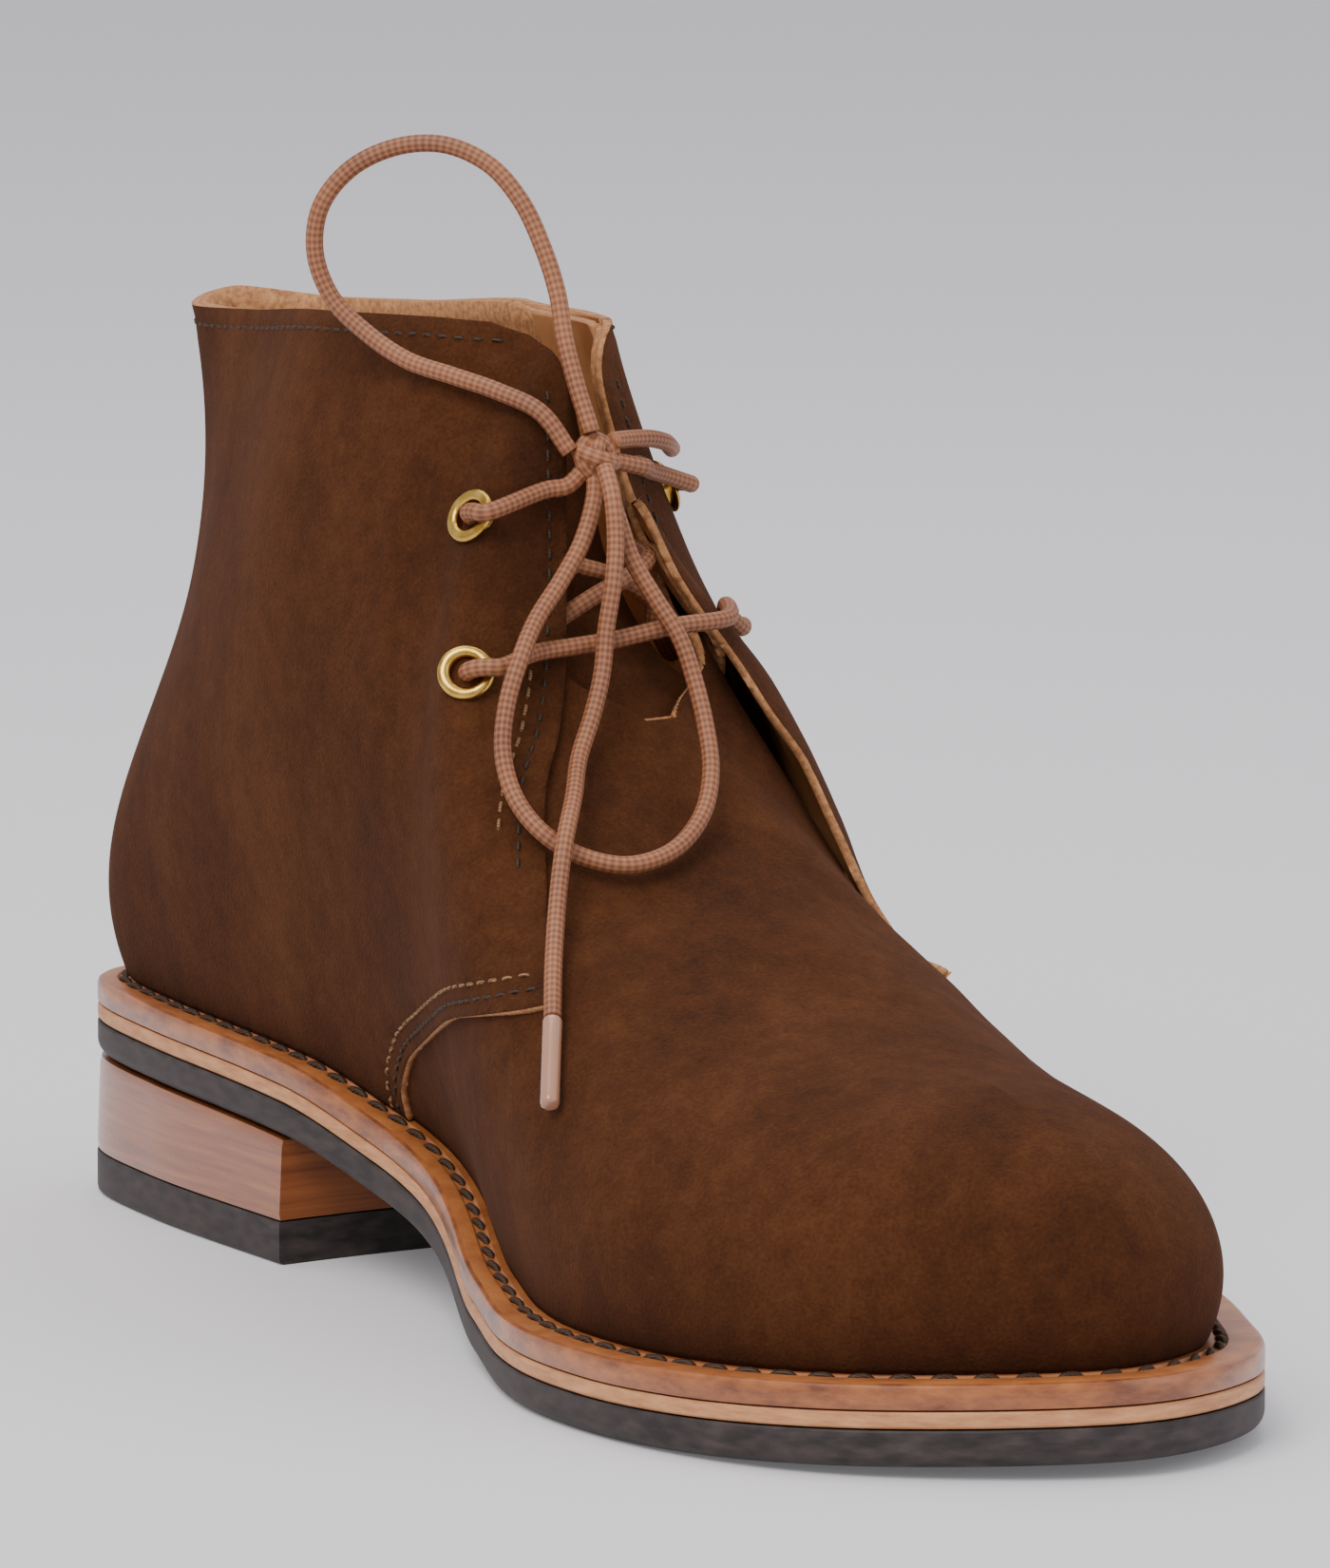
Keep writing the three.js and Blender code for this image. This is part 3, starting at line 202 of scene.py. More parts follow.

# %% [markdown]
# A tied lace lies in loose curves. Each cord follows a short list of given
# points, in metres here. They are the solids' points, except that three of the
# cords start deeper in the knot, so that no gap shows. A centripetal Catmull-Rom
# curve runs through them, and a tube is carried along it with a frame that
# turns as little as possible, so the braid doesn't twist.

# %% Carry a tube along a curve
LACE = 2.8


def curve_through(points, spacing=0.6):
    """Centripetal Catmull-Rom curve through points, sampled evenly. Knots are the square roots of
    the distances, and each span is a blend of three straight blends."""
    points = np.asarray(points, float)
    ends = [2 * points[0] - points[1]], [2 * points[-1] - points[-2]]
    route = np.concatenate([ends[0], points, ends[1]])
    spans = []
    for p0, p1, p2, p3 in zip(route, route[1:], route[2:], route[3:]):
        gaps = np.sqrt([np.linalg.norm(b - a) for a, b in ((p0, p1), (p1, p2), (p2, p3))])
        t0, t1, t2, t3 = np.concatenate([[0], np.cumsum(np.maximum(gaps, 1e-6))])
        t = np.linspace(t1, t2, 24, endpoint=False)[:, None]
        a1 = (t1 - t) / (t1 - t0) * p0 + (t - t0) / (t1 - t0) * p1
        a2 = (t2 - t) / (t2 - t1) * p1 + (t - t1) / (t2 - t1) * p2
        a3 = (t3 - t) / (t3 - t2) * p2 + (t - t2) / (t3 - t2) * p3
        b1 = (t2 - t) / (t2 - t0) * a1 + (t - t0) / (t2 - t0) * a2
        b2 = (t3 - t) / (t3 - t1) * a2 + (t - t1) / (t3 - t1) * a3
        spans.append((t2 - t) / (t2 - t1) * b1 + (t - t1) / (t2 - t1) * b2)
    fine = np.concatenate([*spans, points[-1:]])
    return evenly(fine, spacing)


def evenly(path, spacing):
    """Points at equal distances along a path of points."""
    run = np.concatenate([[0], np.cumsum(np.linalg.norm(np.diff(path, axis=0), axis=1))])
    at = np.linspace(0, run[-1], max(int(run[-1] / spacing), 2) + 1)
    return np.stack([np.interp(at, run, path[:, k]) for k in range(3)], axis=1)


def tube(path, radius, sides=16, closed=False):
    """Points, faces and UV of a tube: circle of the radius in the plane across the path, carried
    from point to point by the smallest turn. Radius is one number or one for each point."""
    path = np.asarray(path, float)
    tangent = np.gradient(path, axis=0)
    if closed:
        tangent = np.roll(path, -1, 0) - np.roll(path, 1, 0)
    tangent /= np.linalg.norm(tangent, axis=1)[:, None]
    across = np.empty_like(path)
    side = np.cross(tangent[0], [0.3, 0.5, 0.8])
    for i, along in enumerate(tangent):
        side = side - along * side.dot(along)
        side /= np.linalg.norm(side)
        across[i] = side
    other = np.cross(tangent, across)
    angle = np.linspace(0, math.tau, sides + 1)
    size = np.broadcast_to(np.asarray(radius, float), (len(path),))[:, None, None]
    ring = np.cos(angle)[None, :, None] * across[:, None] + np.sin(angle)[None, :, None] * other[:, None]
    points = (path[:, None] + size * ring).reshape(-1, 3)
    run = np.concatenate([[0], np.cumsum(np.linalg.norm(np.diff(path, axis=0), axis=1))])
    uv = np.stack(np.broadcast_arrays(angle[None] / math.tau, run[:, None]), axis=-1).reshape(-1, 2)
    wide = sides + 1
    start = (np.arange(len(path) - 1)[:, None] * wide + np.arange(sides)).ravel()
    faces = np.stack([start, start + 1, start + 1 + wide, start + wide], axis=1).tolist()
    if not closed:
        faces.append(list(range(sides - 1, -1, -1)))
        faces.append(list(range((len(path) - 1) * wide, (len(path) - 1) * wide + sides)))
    return points, faces, uv


def weld(mesh, distance=1e-6):
    """Merges a mesh's doubles, which closes a tube where its seam's two edges meet."""
    work = bmesh.new()
    work.from_mesh(mesh)
    bmesh.ops.remove_doubles(work, verts=work.verts, dist=distance)
    bmesh.ops.recalc_face_normals(work, faces=work.faces)
    work.to_mesh(mesh)
    work.free()


def lace_piece(name, path, nodes):
    """A tube of lace as one welded mesh."""
    points, faces, uv = tube(path, LACE / 2)
    piece = make_piece(name, points, faces, LACE_MATERIAL, nodes, "lace", uv=uv)
    weld(piece.data)
    return piece


# %% [markdown]
# The bow: a small knot, one loop that stands up beside the collar, one that
# hangs down over the vamp, one free end with a clear tip and one that goes
# back over the lateral facing.

# %% Tie the bow
KNOT_MIDDLE = (-0.0076, -0.1057, 0.1365)
LOOP_UPPER = [
    (-0.0120, -0.1055, 0.1375), (-0.0155, -0.1025, 0.1435), (-0.0200, -0.0965, 0.1465),
    (-0.0245, -0.0900, 0.1485), (-0.0290, -0.0830, 0.1505), (-0.0330, -0.0765, 0.1545),
    (-0.0365, -0.0720, 0.1595), (-0.0385, -0.0700, 0.1665), (-0.0380, -0.0710, 0.1740),
    (-0.0340, -0.0735, 0.1800), (-0.0280, -0.0775, 0.1835), (-0.0220, -0.0825, 0.1840),
    (-0.0165, -0.0870, 0.1810), (-0.0130, -0.0910, 0.1755), (-0.0110, -0.0945, 0.1685),
    (-0.0100, -0.0975, 0.1615), (-0.0100, -0.1000, 0.1545), (-0.0095, -0.1030, 0.1475),
    (-0.0085, -0.1060, 0.1405),
]
LOOP_LOWER = [
    (-0.0082, -0.1066, 0.1338), (-0.0090, -0.1080, 0.1305), (-0.0125, -0.1105, 0.1240),
    (-0.0175, -0.1130, 0.1185),
    (-0.0235, -0.1160, 0.1130), (-0.0285, -0.1200, 0.1075), (-0.0315, -0.1215, 0.1010),
    (-0.0335, -0.1240, 0.0940), (-0.0335, -0.1280, 0.0875), (-0.0315, -0.1335, 0.0825),
    (-0.0265, -0.1365, 0.0790), (-0.0200, -0.1395, 0.0775), (-0.0115, -0.1385, 0.0790),
    (-0.0045, -0.1350, 0.0835), (-0.0005, -0.1305, 0.0895), (0.0010, -0.1260, 0.0960),
    (0.0010, -0.1225, 0.1025), (0.0000, -0.1195, 0.1090), (-0.0025, -0.1160, 0.1150),
    (-0.0050, -0.1130, 0.1210), (-0.0060, -0.1100, 0.1275), (-0.0070, -0.1078, 0.1325),
]
END_MEDIAL = [
    (-0.0080, -0.1095, 0.1352), (-0.0085, -0.1130, 0.1310), (-0.0090, -0.1150, 0.1245),
    (-0.0105, -0.1170, 0.1180),
    (-0.0120, -0.1175, 0.1110), (-0.0135, -0.1190, 0.1045), (-0.0165, -0.1215, 0.0985),
    (-0.0210, -0.1255, 0.0925), (-0.0255, -0.1322, 0.0875), (-0.0305, -0.1388, 0.0820),
    (-0.0335, -0.1425, 0.0755), (-0.0365, -0.1470, 0.0695), (-0.0395, -0.1520, 0.0640),
    (-0.0425, -0.1575, 0.0580),
]
AGLET_TIP = (-0.0485, -0.1680, 0.0465)
END_LATERAL = [
    (-0.0042, -0.1053, 0.1388), (0.0005, -0.1025, 0.1385), (0.0050, -0.1000, 0.1380),
    (0.0090, -0.0970, 0.1370), (0.0120, -0.0930, 0.1360), (0.0145, -0.0890, 0.1350),
    (0.0170, -0.0850, 0.1340),
]
KNOT_WRAPS = ((20, 75, 2.7), (75, 10, 2.6), (100, 60, 2.0))  # lean, turn and radius


def wrap_ring(lean, turn, radius, count=40):
    """Closed ring of points round the knot's middle, tipped by lean and swung by turn, in degrees."""
    angle = np.linspace(0, math.tau, count, endpoint=False)
    flat = np.stack([np.cos(angle), np.sin(angle), np.zeros(count)], axis=1) * radius
    a, b = math.radians(lean), math.radians(turn)
    tip = np.array([[1, 0, 0], [0, math.cos(a), -math.sin(a)], [0, math.sin(a), math.cos(a)]])
    swing = np.array([[math.cos(b), -math.sin(b), 0], [math.sin(b), math.cos(b), 0], [0, 0, 1]])
    return flat @ tip.T @ swing.T + np.array(KNOT_MIDDLE) / MM


def knot_piece():
    """The knot: two rings of lace wrapped round a third, as in a shoe's bow."""
    points, faces, uvs = [], [], []
    for wrap in KNOT_WRAPS:
        ring = wrap_ring(*wrap)
        ring = np.concatenate([ring, ring[:1]])
        made, quads, uv = tube(ring, LACE / 2, closed=True)
        shift = sum(len(p) for p in points)
        points.append(made)
        faces += [[corner + shift for corner in face] for face in quads]
        uvs.append(uv)
    piece = make_piece("knot", np.concatenate(points), faces, LACE_MATERIAL, ("lace_knot",), "lace",
                       uv=np.concatenate(uvs))
    weld(piece.data)
    return piece


def free_cord(name, route, node):
    """One cord of the bow, with the length of its own curve."""
    path = curve_through(np.array(route) / MM)
    piece = lace_piece(name, path, (node,))
    return piece


def aglet_piece():
    """The clear tip: a tube that narrows a little at both ends."""
    start, tip = np.array(END_MEDIAL[-1]) / MM, np.array(AGLET_TIP) / MM
    t = np.array([0.015, 0.03, 0.06, 0.3, 0.6, 0.9, 0.96, 0.99, 1])
    radius = np.array([1.35, 1.5, 1.55, 1.5, 1.5, 1.5, 1.5, 1.35, 1.0])
    points, faces, uv = tube(start + (tip - start) * t[:, None], radius, sides=24)
    piece = make_piece("aglet", points, faces, AGLET_MATERIAL, ("aglet_medial",), "clear_tip", uv=uv)
    weld(piece.data)
    return piece


knot = knot_piece()
aglet = aglet_piece()
free_cord("loop_upper", LOOP_UPPER, "lace_loop_upper")
free_cord("loop_lower", LOOP_LOWER, "lace_loop_lower")
free_cord("end_medial", END_MEDIAL, "lace_end_medial")
free_cord("end_lateral", END_LATERAL, "lace_end_lateral")

# %% [markdown]
# The whole boot grows out of its last. The sole's edge is a closed curve
# through stations, two numbers each. From every station a string runs up the
# foot as a cubic Bezier curve, to the collar or to the ridge over the instep.
# The sizes and tables are those of the solids.

# %% Sizes and tables of the last
LENGTH, BALL_WIDTH, COLLAR_HEIGHT, INSTEP_HEIGHT = 302, 115, 115, 64
HEEL_LENGTH, BREAST_CURVE, HEEL_INSET, HEEL_SPREAD = 87, 2.5, 0.4, 0.6
TOP_LIFT, HEEL_STACK, OUTSOLE, MIDSOLE, WELT = 7, 15.4, 5.8, 2.5, 3.9
MARGIN_HEEL, MARGIN_TOE, TOE_SPRING, GAP = 6.5, 9.5, 2.5, 0.3
VAMP_WALL, QUARTER_STEP, FLARE_OUTER, FLARE_INNER, FLARE_REACH = 1.8, 1.2, 5, 0.5, 28
HEEL_LIFT = TOP_LIFT + HEEL_STACK + 2 * GAP
SOLE_EDGE = OUTSOLE + MIDSOLE + WELT + 2 * GAP
ORIGIN_ALONG = HEEL_LENGTH / 2
STATIONS, TOE, RIDGE_START = 18, 9, 4.6
THROAT_START, FLARE_FULL = 0.32 * LENGTH, 0.45 * LENGTH

# along and across at each station of the sole's edge, in percent
OUTLINE = np.array([
    (0, -5), (2.9, -23), (13, -28), (28, -28), (44, -26.5), (59.5, -39.5), (72, -47.5), (84.5, -43.5),
    (94, -28), (100, 1.5), (96, 26), (86, 40.5), (73, 51.5), (58, 50.5), (43, 41.5), (28, 32.5),
    (13, 28), (3.4, 15.5),
]) * (LENGTH / 100, BALL_WIDTH / 100)
# along, the heel's rise and the toe's spring there, in percent
RISE = np.array([
    (-6, 100, 0), (0, 100, 0), (13, 98, 0), (28.5, 90, 0), (38, 66, 0), (50, 31, 0), (59.5, 8, 0),
    (66, 0, 0), (77, 0, 0), (85, 0, 20), (91, 0, 50), (100, 0, 100), (110, 0, 160),
]) * (LENGTH / 100, HEEL_LIFT / 100, TOE_SPRING / 100)
# station, along, medial, lateral, height, lead, spread in, spread out, drop, rise in, rise out,
# bulge in, bulge out; the first six end at the collar and the others at the ridge
STRINGS = np.array([
    (0, 9, -9, -9, 100.5, 4.5, 0, 0, -46, 30, 30, 12, 12),
    (1, 12, -18, 2, 99.5, 4.5, -5, 0, -50, 29, 30, 12.5, 7),
    (2, 20.5, -20, 5, 101.5, 3, 9, 3, -48, 32, 30.5, 9.5, 2.5),
    (3, 32, -24.5, 5, 107, 0.5, 14.5, 8, -45, 35, 31, 9.5, 5),
    (4, 42, -18.5, 3.5, 114, 0, 18.5, 12, -42, 37.5, 28, 13.5, 8.5),
    (4.6, 46, -7, -7, 114.5, 0, 25, 2.5, -26, 37.5, 27, 12.5, 4.5),
    (5.2, 49, -7, -7, 152, 0.5, 25.5, 4.5, -16, 64, 47, 10.5, 0),
    (5.6, 53, -5, -5, 123, 0.5, 25, 8.5, -8, 60, 47, 9, 0),
    (6, 59, -2.5, -2.5, 99, 0.5, 25, 14, -3, 53, 41.5, 9.5, 0.5),
    (6.5, 67, -0.5, -0.5, 83, 0.5, 27, 18, -1.5, 47, 35, 11.5, 2),
    (7, 74.5, 0, 0, 70.5, 0.5, 27, 20, 0, 43.5, 34.5, 9.5, 5.5),
    (8, 83, 0, 0, 63.5, 2.5, 25, 22, -1.5, 40.5, 36, 7.5, 10.5),
    (9, 87, 0, 0, 62.5, 8.5, 0, 0, -6, 36.5, 36.5, 7.5, 7.5),
])
COLLAR_ROWS = 6
# height, quarter in, quarter out, vamp in, vamp out, flare
THROAT = np.array([
    (50.5, -35.5, 31.5, 0, 0, 0), (56, -33, 28.5, 0, 0, 5), (66, -28, 24, 0, 0, 55),
    (76.5, -23, 20.5, 0, 0, 90), (83.5, -18, 15.5, -4, 1, 100), (90.5, -14.5, 12, -14, 9.5, 80),
    (103, -11, 5.5, -14, 9, 40), (120, -9, 2, -12, 6, 25), (128.5, -8, 0.5, -11, 4, 25),
    (132, -9, 1.5, -11, 4, 25), (134.5, -11, 4, -11, 4, 25), (136, -15, 9, -15, 9, 25),
    (150, -18, 13, -18, 13, 25),
]) * np.array([COLLAR_HEIGHT, *[BALL_WIDTH] * 4, FLARE_OUTER]) / 100
# along and height of the quarters' lower edge, in percent
QUARTER_EDGE = np.array([
    (38.5, 20), (39, 48), (41.5, 60), (48, 72), (56, 83), (64, 91), (67, 95),
]) * (LENGTH / 100, INSTEP_HEIGHT / 100)
print("strings", len(STRINGS))

# %% [markdown]
# The tables become functions. A plain spline would swing past its points and
# leave lumps between the strings, so a monotone cubic runs through each
# column, and a value between two rows stays between theirs.

# %% The last as functions
def smooth(xs, ys):
    """Monotone cubic through points: Hermite spans whose slopes are harmonic means, so that it
    doesn't overshoot, and flat beyond the ends."""
    xs, ys = np.asarray(xs, float), np.asarray(ys, float)
    step = np.diff(xs)
    slope = np.diff(ys) / step
    tangent = np.concatenate([[slope[0]], np.zeros(len(xs) - 2), [slope[-1]]])
    turns = slope[:-1] * slope[1:] > 0
    before, after = (2 * step[1:] + step[:-1])[turns], (step[1:] + 2 * step[:-1])[turns]
    tangent[1:-1][turns] = (before + after) / (before / slope[:-1][turns] + after / slope[1:][turns])

    def value(at):
        x = np.clip(at, xs[0], xs[-1])
        i = np.clip(np.searchsorted(xs, x, side="right") - 1, 0, len(xs) - 2)
        t = (x - xs[i]) / step[i]
        u = 1 - t
        return ((1 + 2 * t) * u * u * ys[i] + t * u * u * step[i] * tangent[i]
                + t * t * (3 - 2 * t) * ys[i + 1] - t * t * u * step[i] * tangent[i + 1])

    return value


rise_of_heel = smooth(RISE[:, 0], RISE[:, 1])
rise_of_toe = smooth(RISE[:, 0], RISE[:, 2])
quarter_in, quarter_out, vamp_in, vamp_out, flare_at = (
    smooth(THROAT[:, 0], THROAT[:, k]) for k in range(1, 6)
)
quarter_limit = smooth(QUARTER_EDGE[:, 1], QUARTER_EDGE[:, 0])


def underside(along):
    """Height of the outsole's underside: the heel's rise and the toe's spring."""
    return rise_of_heel(along) + rise_of_toe(along)


def seat(along):
    """Height of the welt's top."""
    return underside(along) + SOLE_EDGE


def edge_point(q):
    """Sole's edge at station q, along and across: a closed Catmull-Rom curve."""
    i = np.floor(q).astype(int)
    t = q - i
    weights = ((-t + 2 * t**2 - t**3) / 2, (2 - 5 * t**2 + 3 * t**3) / 2,
               (t + 4 * t**2 - 3 * t**3) / 2, (-(t**2) + t**3) / 2)
    rows = [OUTLINE[(i + j - 1) % STATIONS] for j in range(4)]
    return sum(w[..., None] * row for w, row in zip(weights, rows))


def inset_point(q, margin):
    """Sole's edge moved inwards by a margin, and the outward direction there."""
    q = np.asarray(q, float)
    turn = edge_point(q + 0.01) - edge_point(q - 0.01)
    turn /= np.linalg.norm(turn, axis=-1)[..., None]
    out = np.stack([turn[..., 1], -turn[..., 0]], axis=-1)
    return edge_point(q) - out * np.asarray(margin)[..., None], out


def station_of(q):
    """Station counted from the heel's back, the same on both sides."""
    return np.where(q <= TOE, q, STATIONS - q)


def smoothstep(x, low, high):
    """3 t squared less 2 t cubed, where t goes from 0 at low to 1 at high."""
    t = np.clip((x - low) / (high - low), 0, 1)
    return t * t * (3 - 2 * t)


def welt_margin(q):
    """Welt that shows beyond the upper, wider round the toe."""
    return MARGIN_HEEL + smoothstep(station_of(q), TOE / 2, TOE) * (MARGIN_TOE - MARGIN_HEEL)


def around(medial, lateral):
    """A value of the strings as a closed function of the station."""
    q = np.concatenate([STRINGS[:, 0], STATIONS - STRINGS[-2:0:-1, 0]])
    y = np.concatenate([medial, lateral[-2:0:-1]])
    return smooth(np.concatenate([q[-3:] - STATIONS, q, q[:4] + STATIONS]),
                  np.concatenate([y[-3:], y, y[:4]]))


size = np.where(np.arange(len(STRINGS)) < COLLAR_ROWS, COLLAR_HEIGHT, INSTEP_HEIGHT) / 100
long, wide = LENGTH / 100, BALL_WIDTH / 100
columns = STRINGS.T
string_along = around(columns[1] * long, columns[1] * long)
top_height = seat(columns[1] * long) + columns[4] * size
string_height = around(top_height, top_height)
string_lead = around(columns[5] * long, columns[5] * long)
string_drop = around(columns[8] * size, columns[8] * size)
string_across = around(columns[2] * wide, columns[3] * wide)
string_spread = around(-columns[6] * wide, columns[7] * wide)
string_rise = around(columns[9] * size, columns[10] * size)
string_bulge = around(columns[11] * wide, columns[12] * wide)


def last_point(q, v):
    """Last's surface at station q and v, 0 at the feather line and 1 at the top: a cubic Bezier."""
    q, v = np.broadcast_arrays(np.asarray(q, float) % STATIONS, np.asarray(v, float))
    foot, out = inset_point(q, welt_margin(q))
    low = seat(foot[..., 0])
    across = string_across(q)
    shared = (across + string_across(STATIONS - q)) / 2
    across = np.where(station_of(q) >= RIDGE_START, shared, across)
    along, height, bulge = string_along(q), string_height(q), string_bulge(q)
    corners = (
        (foot[..., 1], foot[..., 0], low),
        (foot[..., 1] + out[..., 1] * bulge, foot[..., 0] + out[..., 0] * bulge, low + string_rise(q)),
        (across + string_spread(q), along + string_lead(q), height + string_drop(q)),
        (across, along, height),
    )
    weights = ((1 - v) ** 3, 3 * (1 - v) ** 2 * v, 3 * (1 - v) * v * v, v**3)
    x, s, z = (sum(w * c[k] for w, c in zip(weights, corners)) for k in range(3))
    return np.stack([x, ORIGIN_ALONG - s, z], axis=-1)


def last_normal(q, v):
    """Outward normal: the cross product of the ways round and up; along the ridge both sides' mean."""
    q, v = np.broadcast_arrays(np.asarray(q, float), np.asarray(v, float))
    v = np.where((np.abs(q - TOE) < 0.01) & (v > 0.99), 0.99, v)

    def one_side(at):
        up = last_point(at, np.minimum(v + 0.002, 1)) - last_point(at, np.maximum(v - 0.002, 0))
        on = last_point(at + 0.002, v) - last_point(at - 0.002, v)
        normal = np.cross(on, up)
        return normal / np.linalg.norm(normal, axis=-1)[..., None]

    normal = one_side(q)
    ridge = (v > 0.999) & (station_of(q) >= RIDGE_START)
    normal = np.where(ridge[..., None], normal + one_side(STATIONS - q), normal)
    return normal / np.linalg.norm(normal, axis=-1)[..., None]


def flare(q, point):
    """How far a facing stands off the last: most at its edge, and fading back over its reach."""
    medial = q <= TOE
    x, y, z = np.moveaxis(point, -1, 0)
    back = np.where(medial, quarter_in(z) - x, x - quarter_out(z))
    near = 1 - np.clip(back / FLARE_REACH, 0, 1)
    most = flare_at(z) * np.where(medial, FLARE_INNER / FLARE_OUTER, 1)
    start = smoothstep(ORIGIN_ALONG - y, THROAT_START, FLARE_FULL)
    return most * near**2 * start


print("collar height", round(float(string_height(0.0)), 1))

# %% [markdown]
# A panel is a piece of that surface. The last is sampled on a fine grid, each
# point is moved out along its normal, and the grid is trimmed along the
# panel's edge by a function that is positive inside the panel. Edges that
# cross zero are cut there, so the panel's edge is smooth.

# %% Grid and trimming
THROAT_LOW = 0.505 * COLLAR_HEIGHT
THROAT_STEP = 0.6 * COLLAR_HEIGHT
THROAT_FOOT = 0.55 * LENGTH  # start of the throat below the step


def last_grid(around_steps, up_steps):
    """Stations, v, points, normals and triangles of a grid over the whole last."""
    q = np.arange(around_steps) * STATIONS / around_steps
    v = np.linspace(0, 1, up_steps + 1)
    Q, V = (a.ravel() for a in np.meshgrid(q, v, indexing="ij"))
    points, normals = last_point(Q, V), last_normal(Q, V)
    column, row = np.meshgrid(np.arange(around_steps), np.arange(up_steps), indexing="ij")

    def number(i, j):
        i = i % around_steps
        mirror = (j == up_steps) & (station_of(q[i]) >= RIDGE_START) & (q[i] > TOE)
        return np.where(mirror, around_steps - i, i) * (up_steps + 1) + j

    a, b, c, d = (number(column + i, row + j).ravel() for i, j in ((0, 0), (1, 0), (1, 1), (0, 1)))
    triangles = np.concatenate([np.stack([a, b, c], 1), np.stack([a, c, d], 1)])
    same = (triangles == np.roll(triangles, 1, axis=1)).any(axis=1)
    return Q, V, points, normals, triangles[~same]


def trimmed(values, triangles, field):
    """The part of a triangle mesh where a field is positive. A crossing edge from a to b is cut at
    a + (b - a) * fa / (fa - fb). Values hold the points and whatever goes with them."""
    inside = field > 0
    count = inside[triangles].sum(axis=1)
    part = triangles[(count == 1) | (count == 2)]
    flags = inside[part]
    odd = np.where(flags.sum(axis=1) == 1, flags.argmax(axis=1), flags.argmin(axis=1))
    turned = part[np.arange(len(part))[:, None], (odd[:, None] + np.arange(3)) % 3]
    a, b, c = turned.T
    pairs = np.sort(np.concatenate([np.stack([a, b], 1), np.stack([a, c], 1)]), axis=1)
    edges, back = np.unique(pairs, axis=0, return_inverse=True)
    back = back.ravel()
    share = field[edges[:, 0]] / (field[edges[:, 0]] - field[edges[:, 1]])
    share = np.clip(share, 0.02, 0.98)[:, None]
    cut = values[edges[:, 0]] + (values[edges[:, 1]] - values[edges[:, 0]]) * share
    ab, ac = len(values) + back[: len(part)], len(values) + back[len(part) :]
    lone = inside[a]
    made = [
        triangles[count == 3],
        np.stack([a, ab, ac], 1)[lone],
        np.stack([ab, b, c], 1)[~lone],
        np.stack([ab, c, ac], 1)[~lone],
    ]
    faces = np.concatenate(made)
    used, faces = np.unique(faces, return_inverse=True)
    return np.concatenate([values, cut])[used], faces.reshape(-1, 3)


def throat_field(point, left, right, floor=None):
    """Positive outside an opening between two edges, seen from the front, above its floor and
    ahead of the throat's start."""
    x, y, z = np.moveaxis(point, -1, 0)
    field = np.maximum(left(z) - x, x - right(z))
    if floor is not None:
        field = np.maximum(field, floor - z)
    start = np.where(z < THROAT_STEP, THROAT_FOOT, THROAT_START)
    return np.where(ORIGIN_ALONG - y > start, field, 99.0)


Q, V, LAST, NORMAL, TRIANGLES = last_grid(540, 84)
print("grid", len(LAST), "points", len(TRIANGLES), "triangles")

# %% [markdown]
# Suede is split leather with a short nap. Its colour shifts in soft patches
# where the nap lies another way, drawn out upwards, with a fine grain under a
# millimetre across, and shade is painted into it down by the welt. It has no
# gloss, and a little sheen at grazing angles. The cut edge and the lining are
# smoother and paler.

# %% Leather materials
def suede_material(name, dark, middle, light):
    """Three scales of noise: patches of 26 mm, mottling of 4 mm and grain of 0.6 mm. The
    attribute darker paints shade at the foot of the panels, by the welt."""
    material, tree, shader = new_material(name, Roughness=0.95, Specular_IOR_Level=0.15)
    place = add_node(tree, "ShaderNodeTexCoord").outputs["Object"]
    drawn = add_node(tree, "ShaderNodeMapping", {"Vector": place, "Scale": (1, 1, 0.5)}).outputs[0]
    patches = add_node(tree, "ShaderNodeTexNoise", {"Vector": drawn, "Scale": 38, "Detail": 4,
                                                    "Roughness": 0.6}).outputs[0]
    mottle = add_node(tree, "ShaderNodeTexNoise", {"Vector": place, "Scale": 260, "Detail": 5,
                                                   "Roughness": 0.7}).outputs[0]
    grain = add_node(tree, "ShaderNodeTexNoise", {"Vector": place, "Scale": 1700, "Detail": 3}).outputs[0]
    mixed = add_node(tree, "ShaderNodeMath", {0: patches, 1: 0.4, 2: 0.06}, operation="MULTIPLY_ADD")
    mixed = add_node(tree, "ShaderNodeMath", {0: mottle, 1: 0.26, 2: mixed.outputs[0]},
                     operation="MULTIPLY_ADD")
    mixed = add_node(tree, "ShaderNodeMath", {0: grain, 1: 0.24, 2: mixed.outputs[0]},
                     operation="MULTIPLY_ADD").outputs[0]
    nap = add_ramp(tree, mixed, [(0.34, dark), (0.5, middle), (0.68, light)])
    # Painted shade: near the welt the nap's colour is mixed towards its darkest, by the attribute darker.
    shadow = add_node(tree, "ShaderNodeAttribute", attribute_name="darker").outputs["Fac"]
    painted_foot_shade = add_node(tree, "ShaderNodeMix", {0: shadow, 6: nap, 7: colour(dark)}, data_type="RGBA")
    tree.links.new(painted_foot_shade.outputs[2], shader.inputs["Base Color"])
    shader.inputs["Sheen Weight"].default_value = 0.25
    shader.inputs["Sheen Roughness"].default_value = 0.5
    shader.inputs["Sheen Tint"].default_value = colour(light)
    fine = add_node(tree, "ShaderNodeMath", {0: mottle, 1: 0.5, 2: grain}, operation="MULTIPLY_ADD")
    bump = add_node(tree, "ShaderNodeBump", {"Height": fine.outputs[0], "Strength": 0.55,
                                             "Distance": 0.0004})
    tree.links.new(bump.outputs[0], shader.inputs["Normal"])
    return material


PEBBLE_DEPTH = 0.08


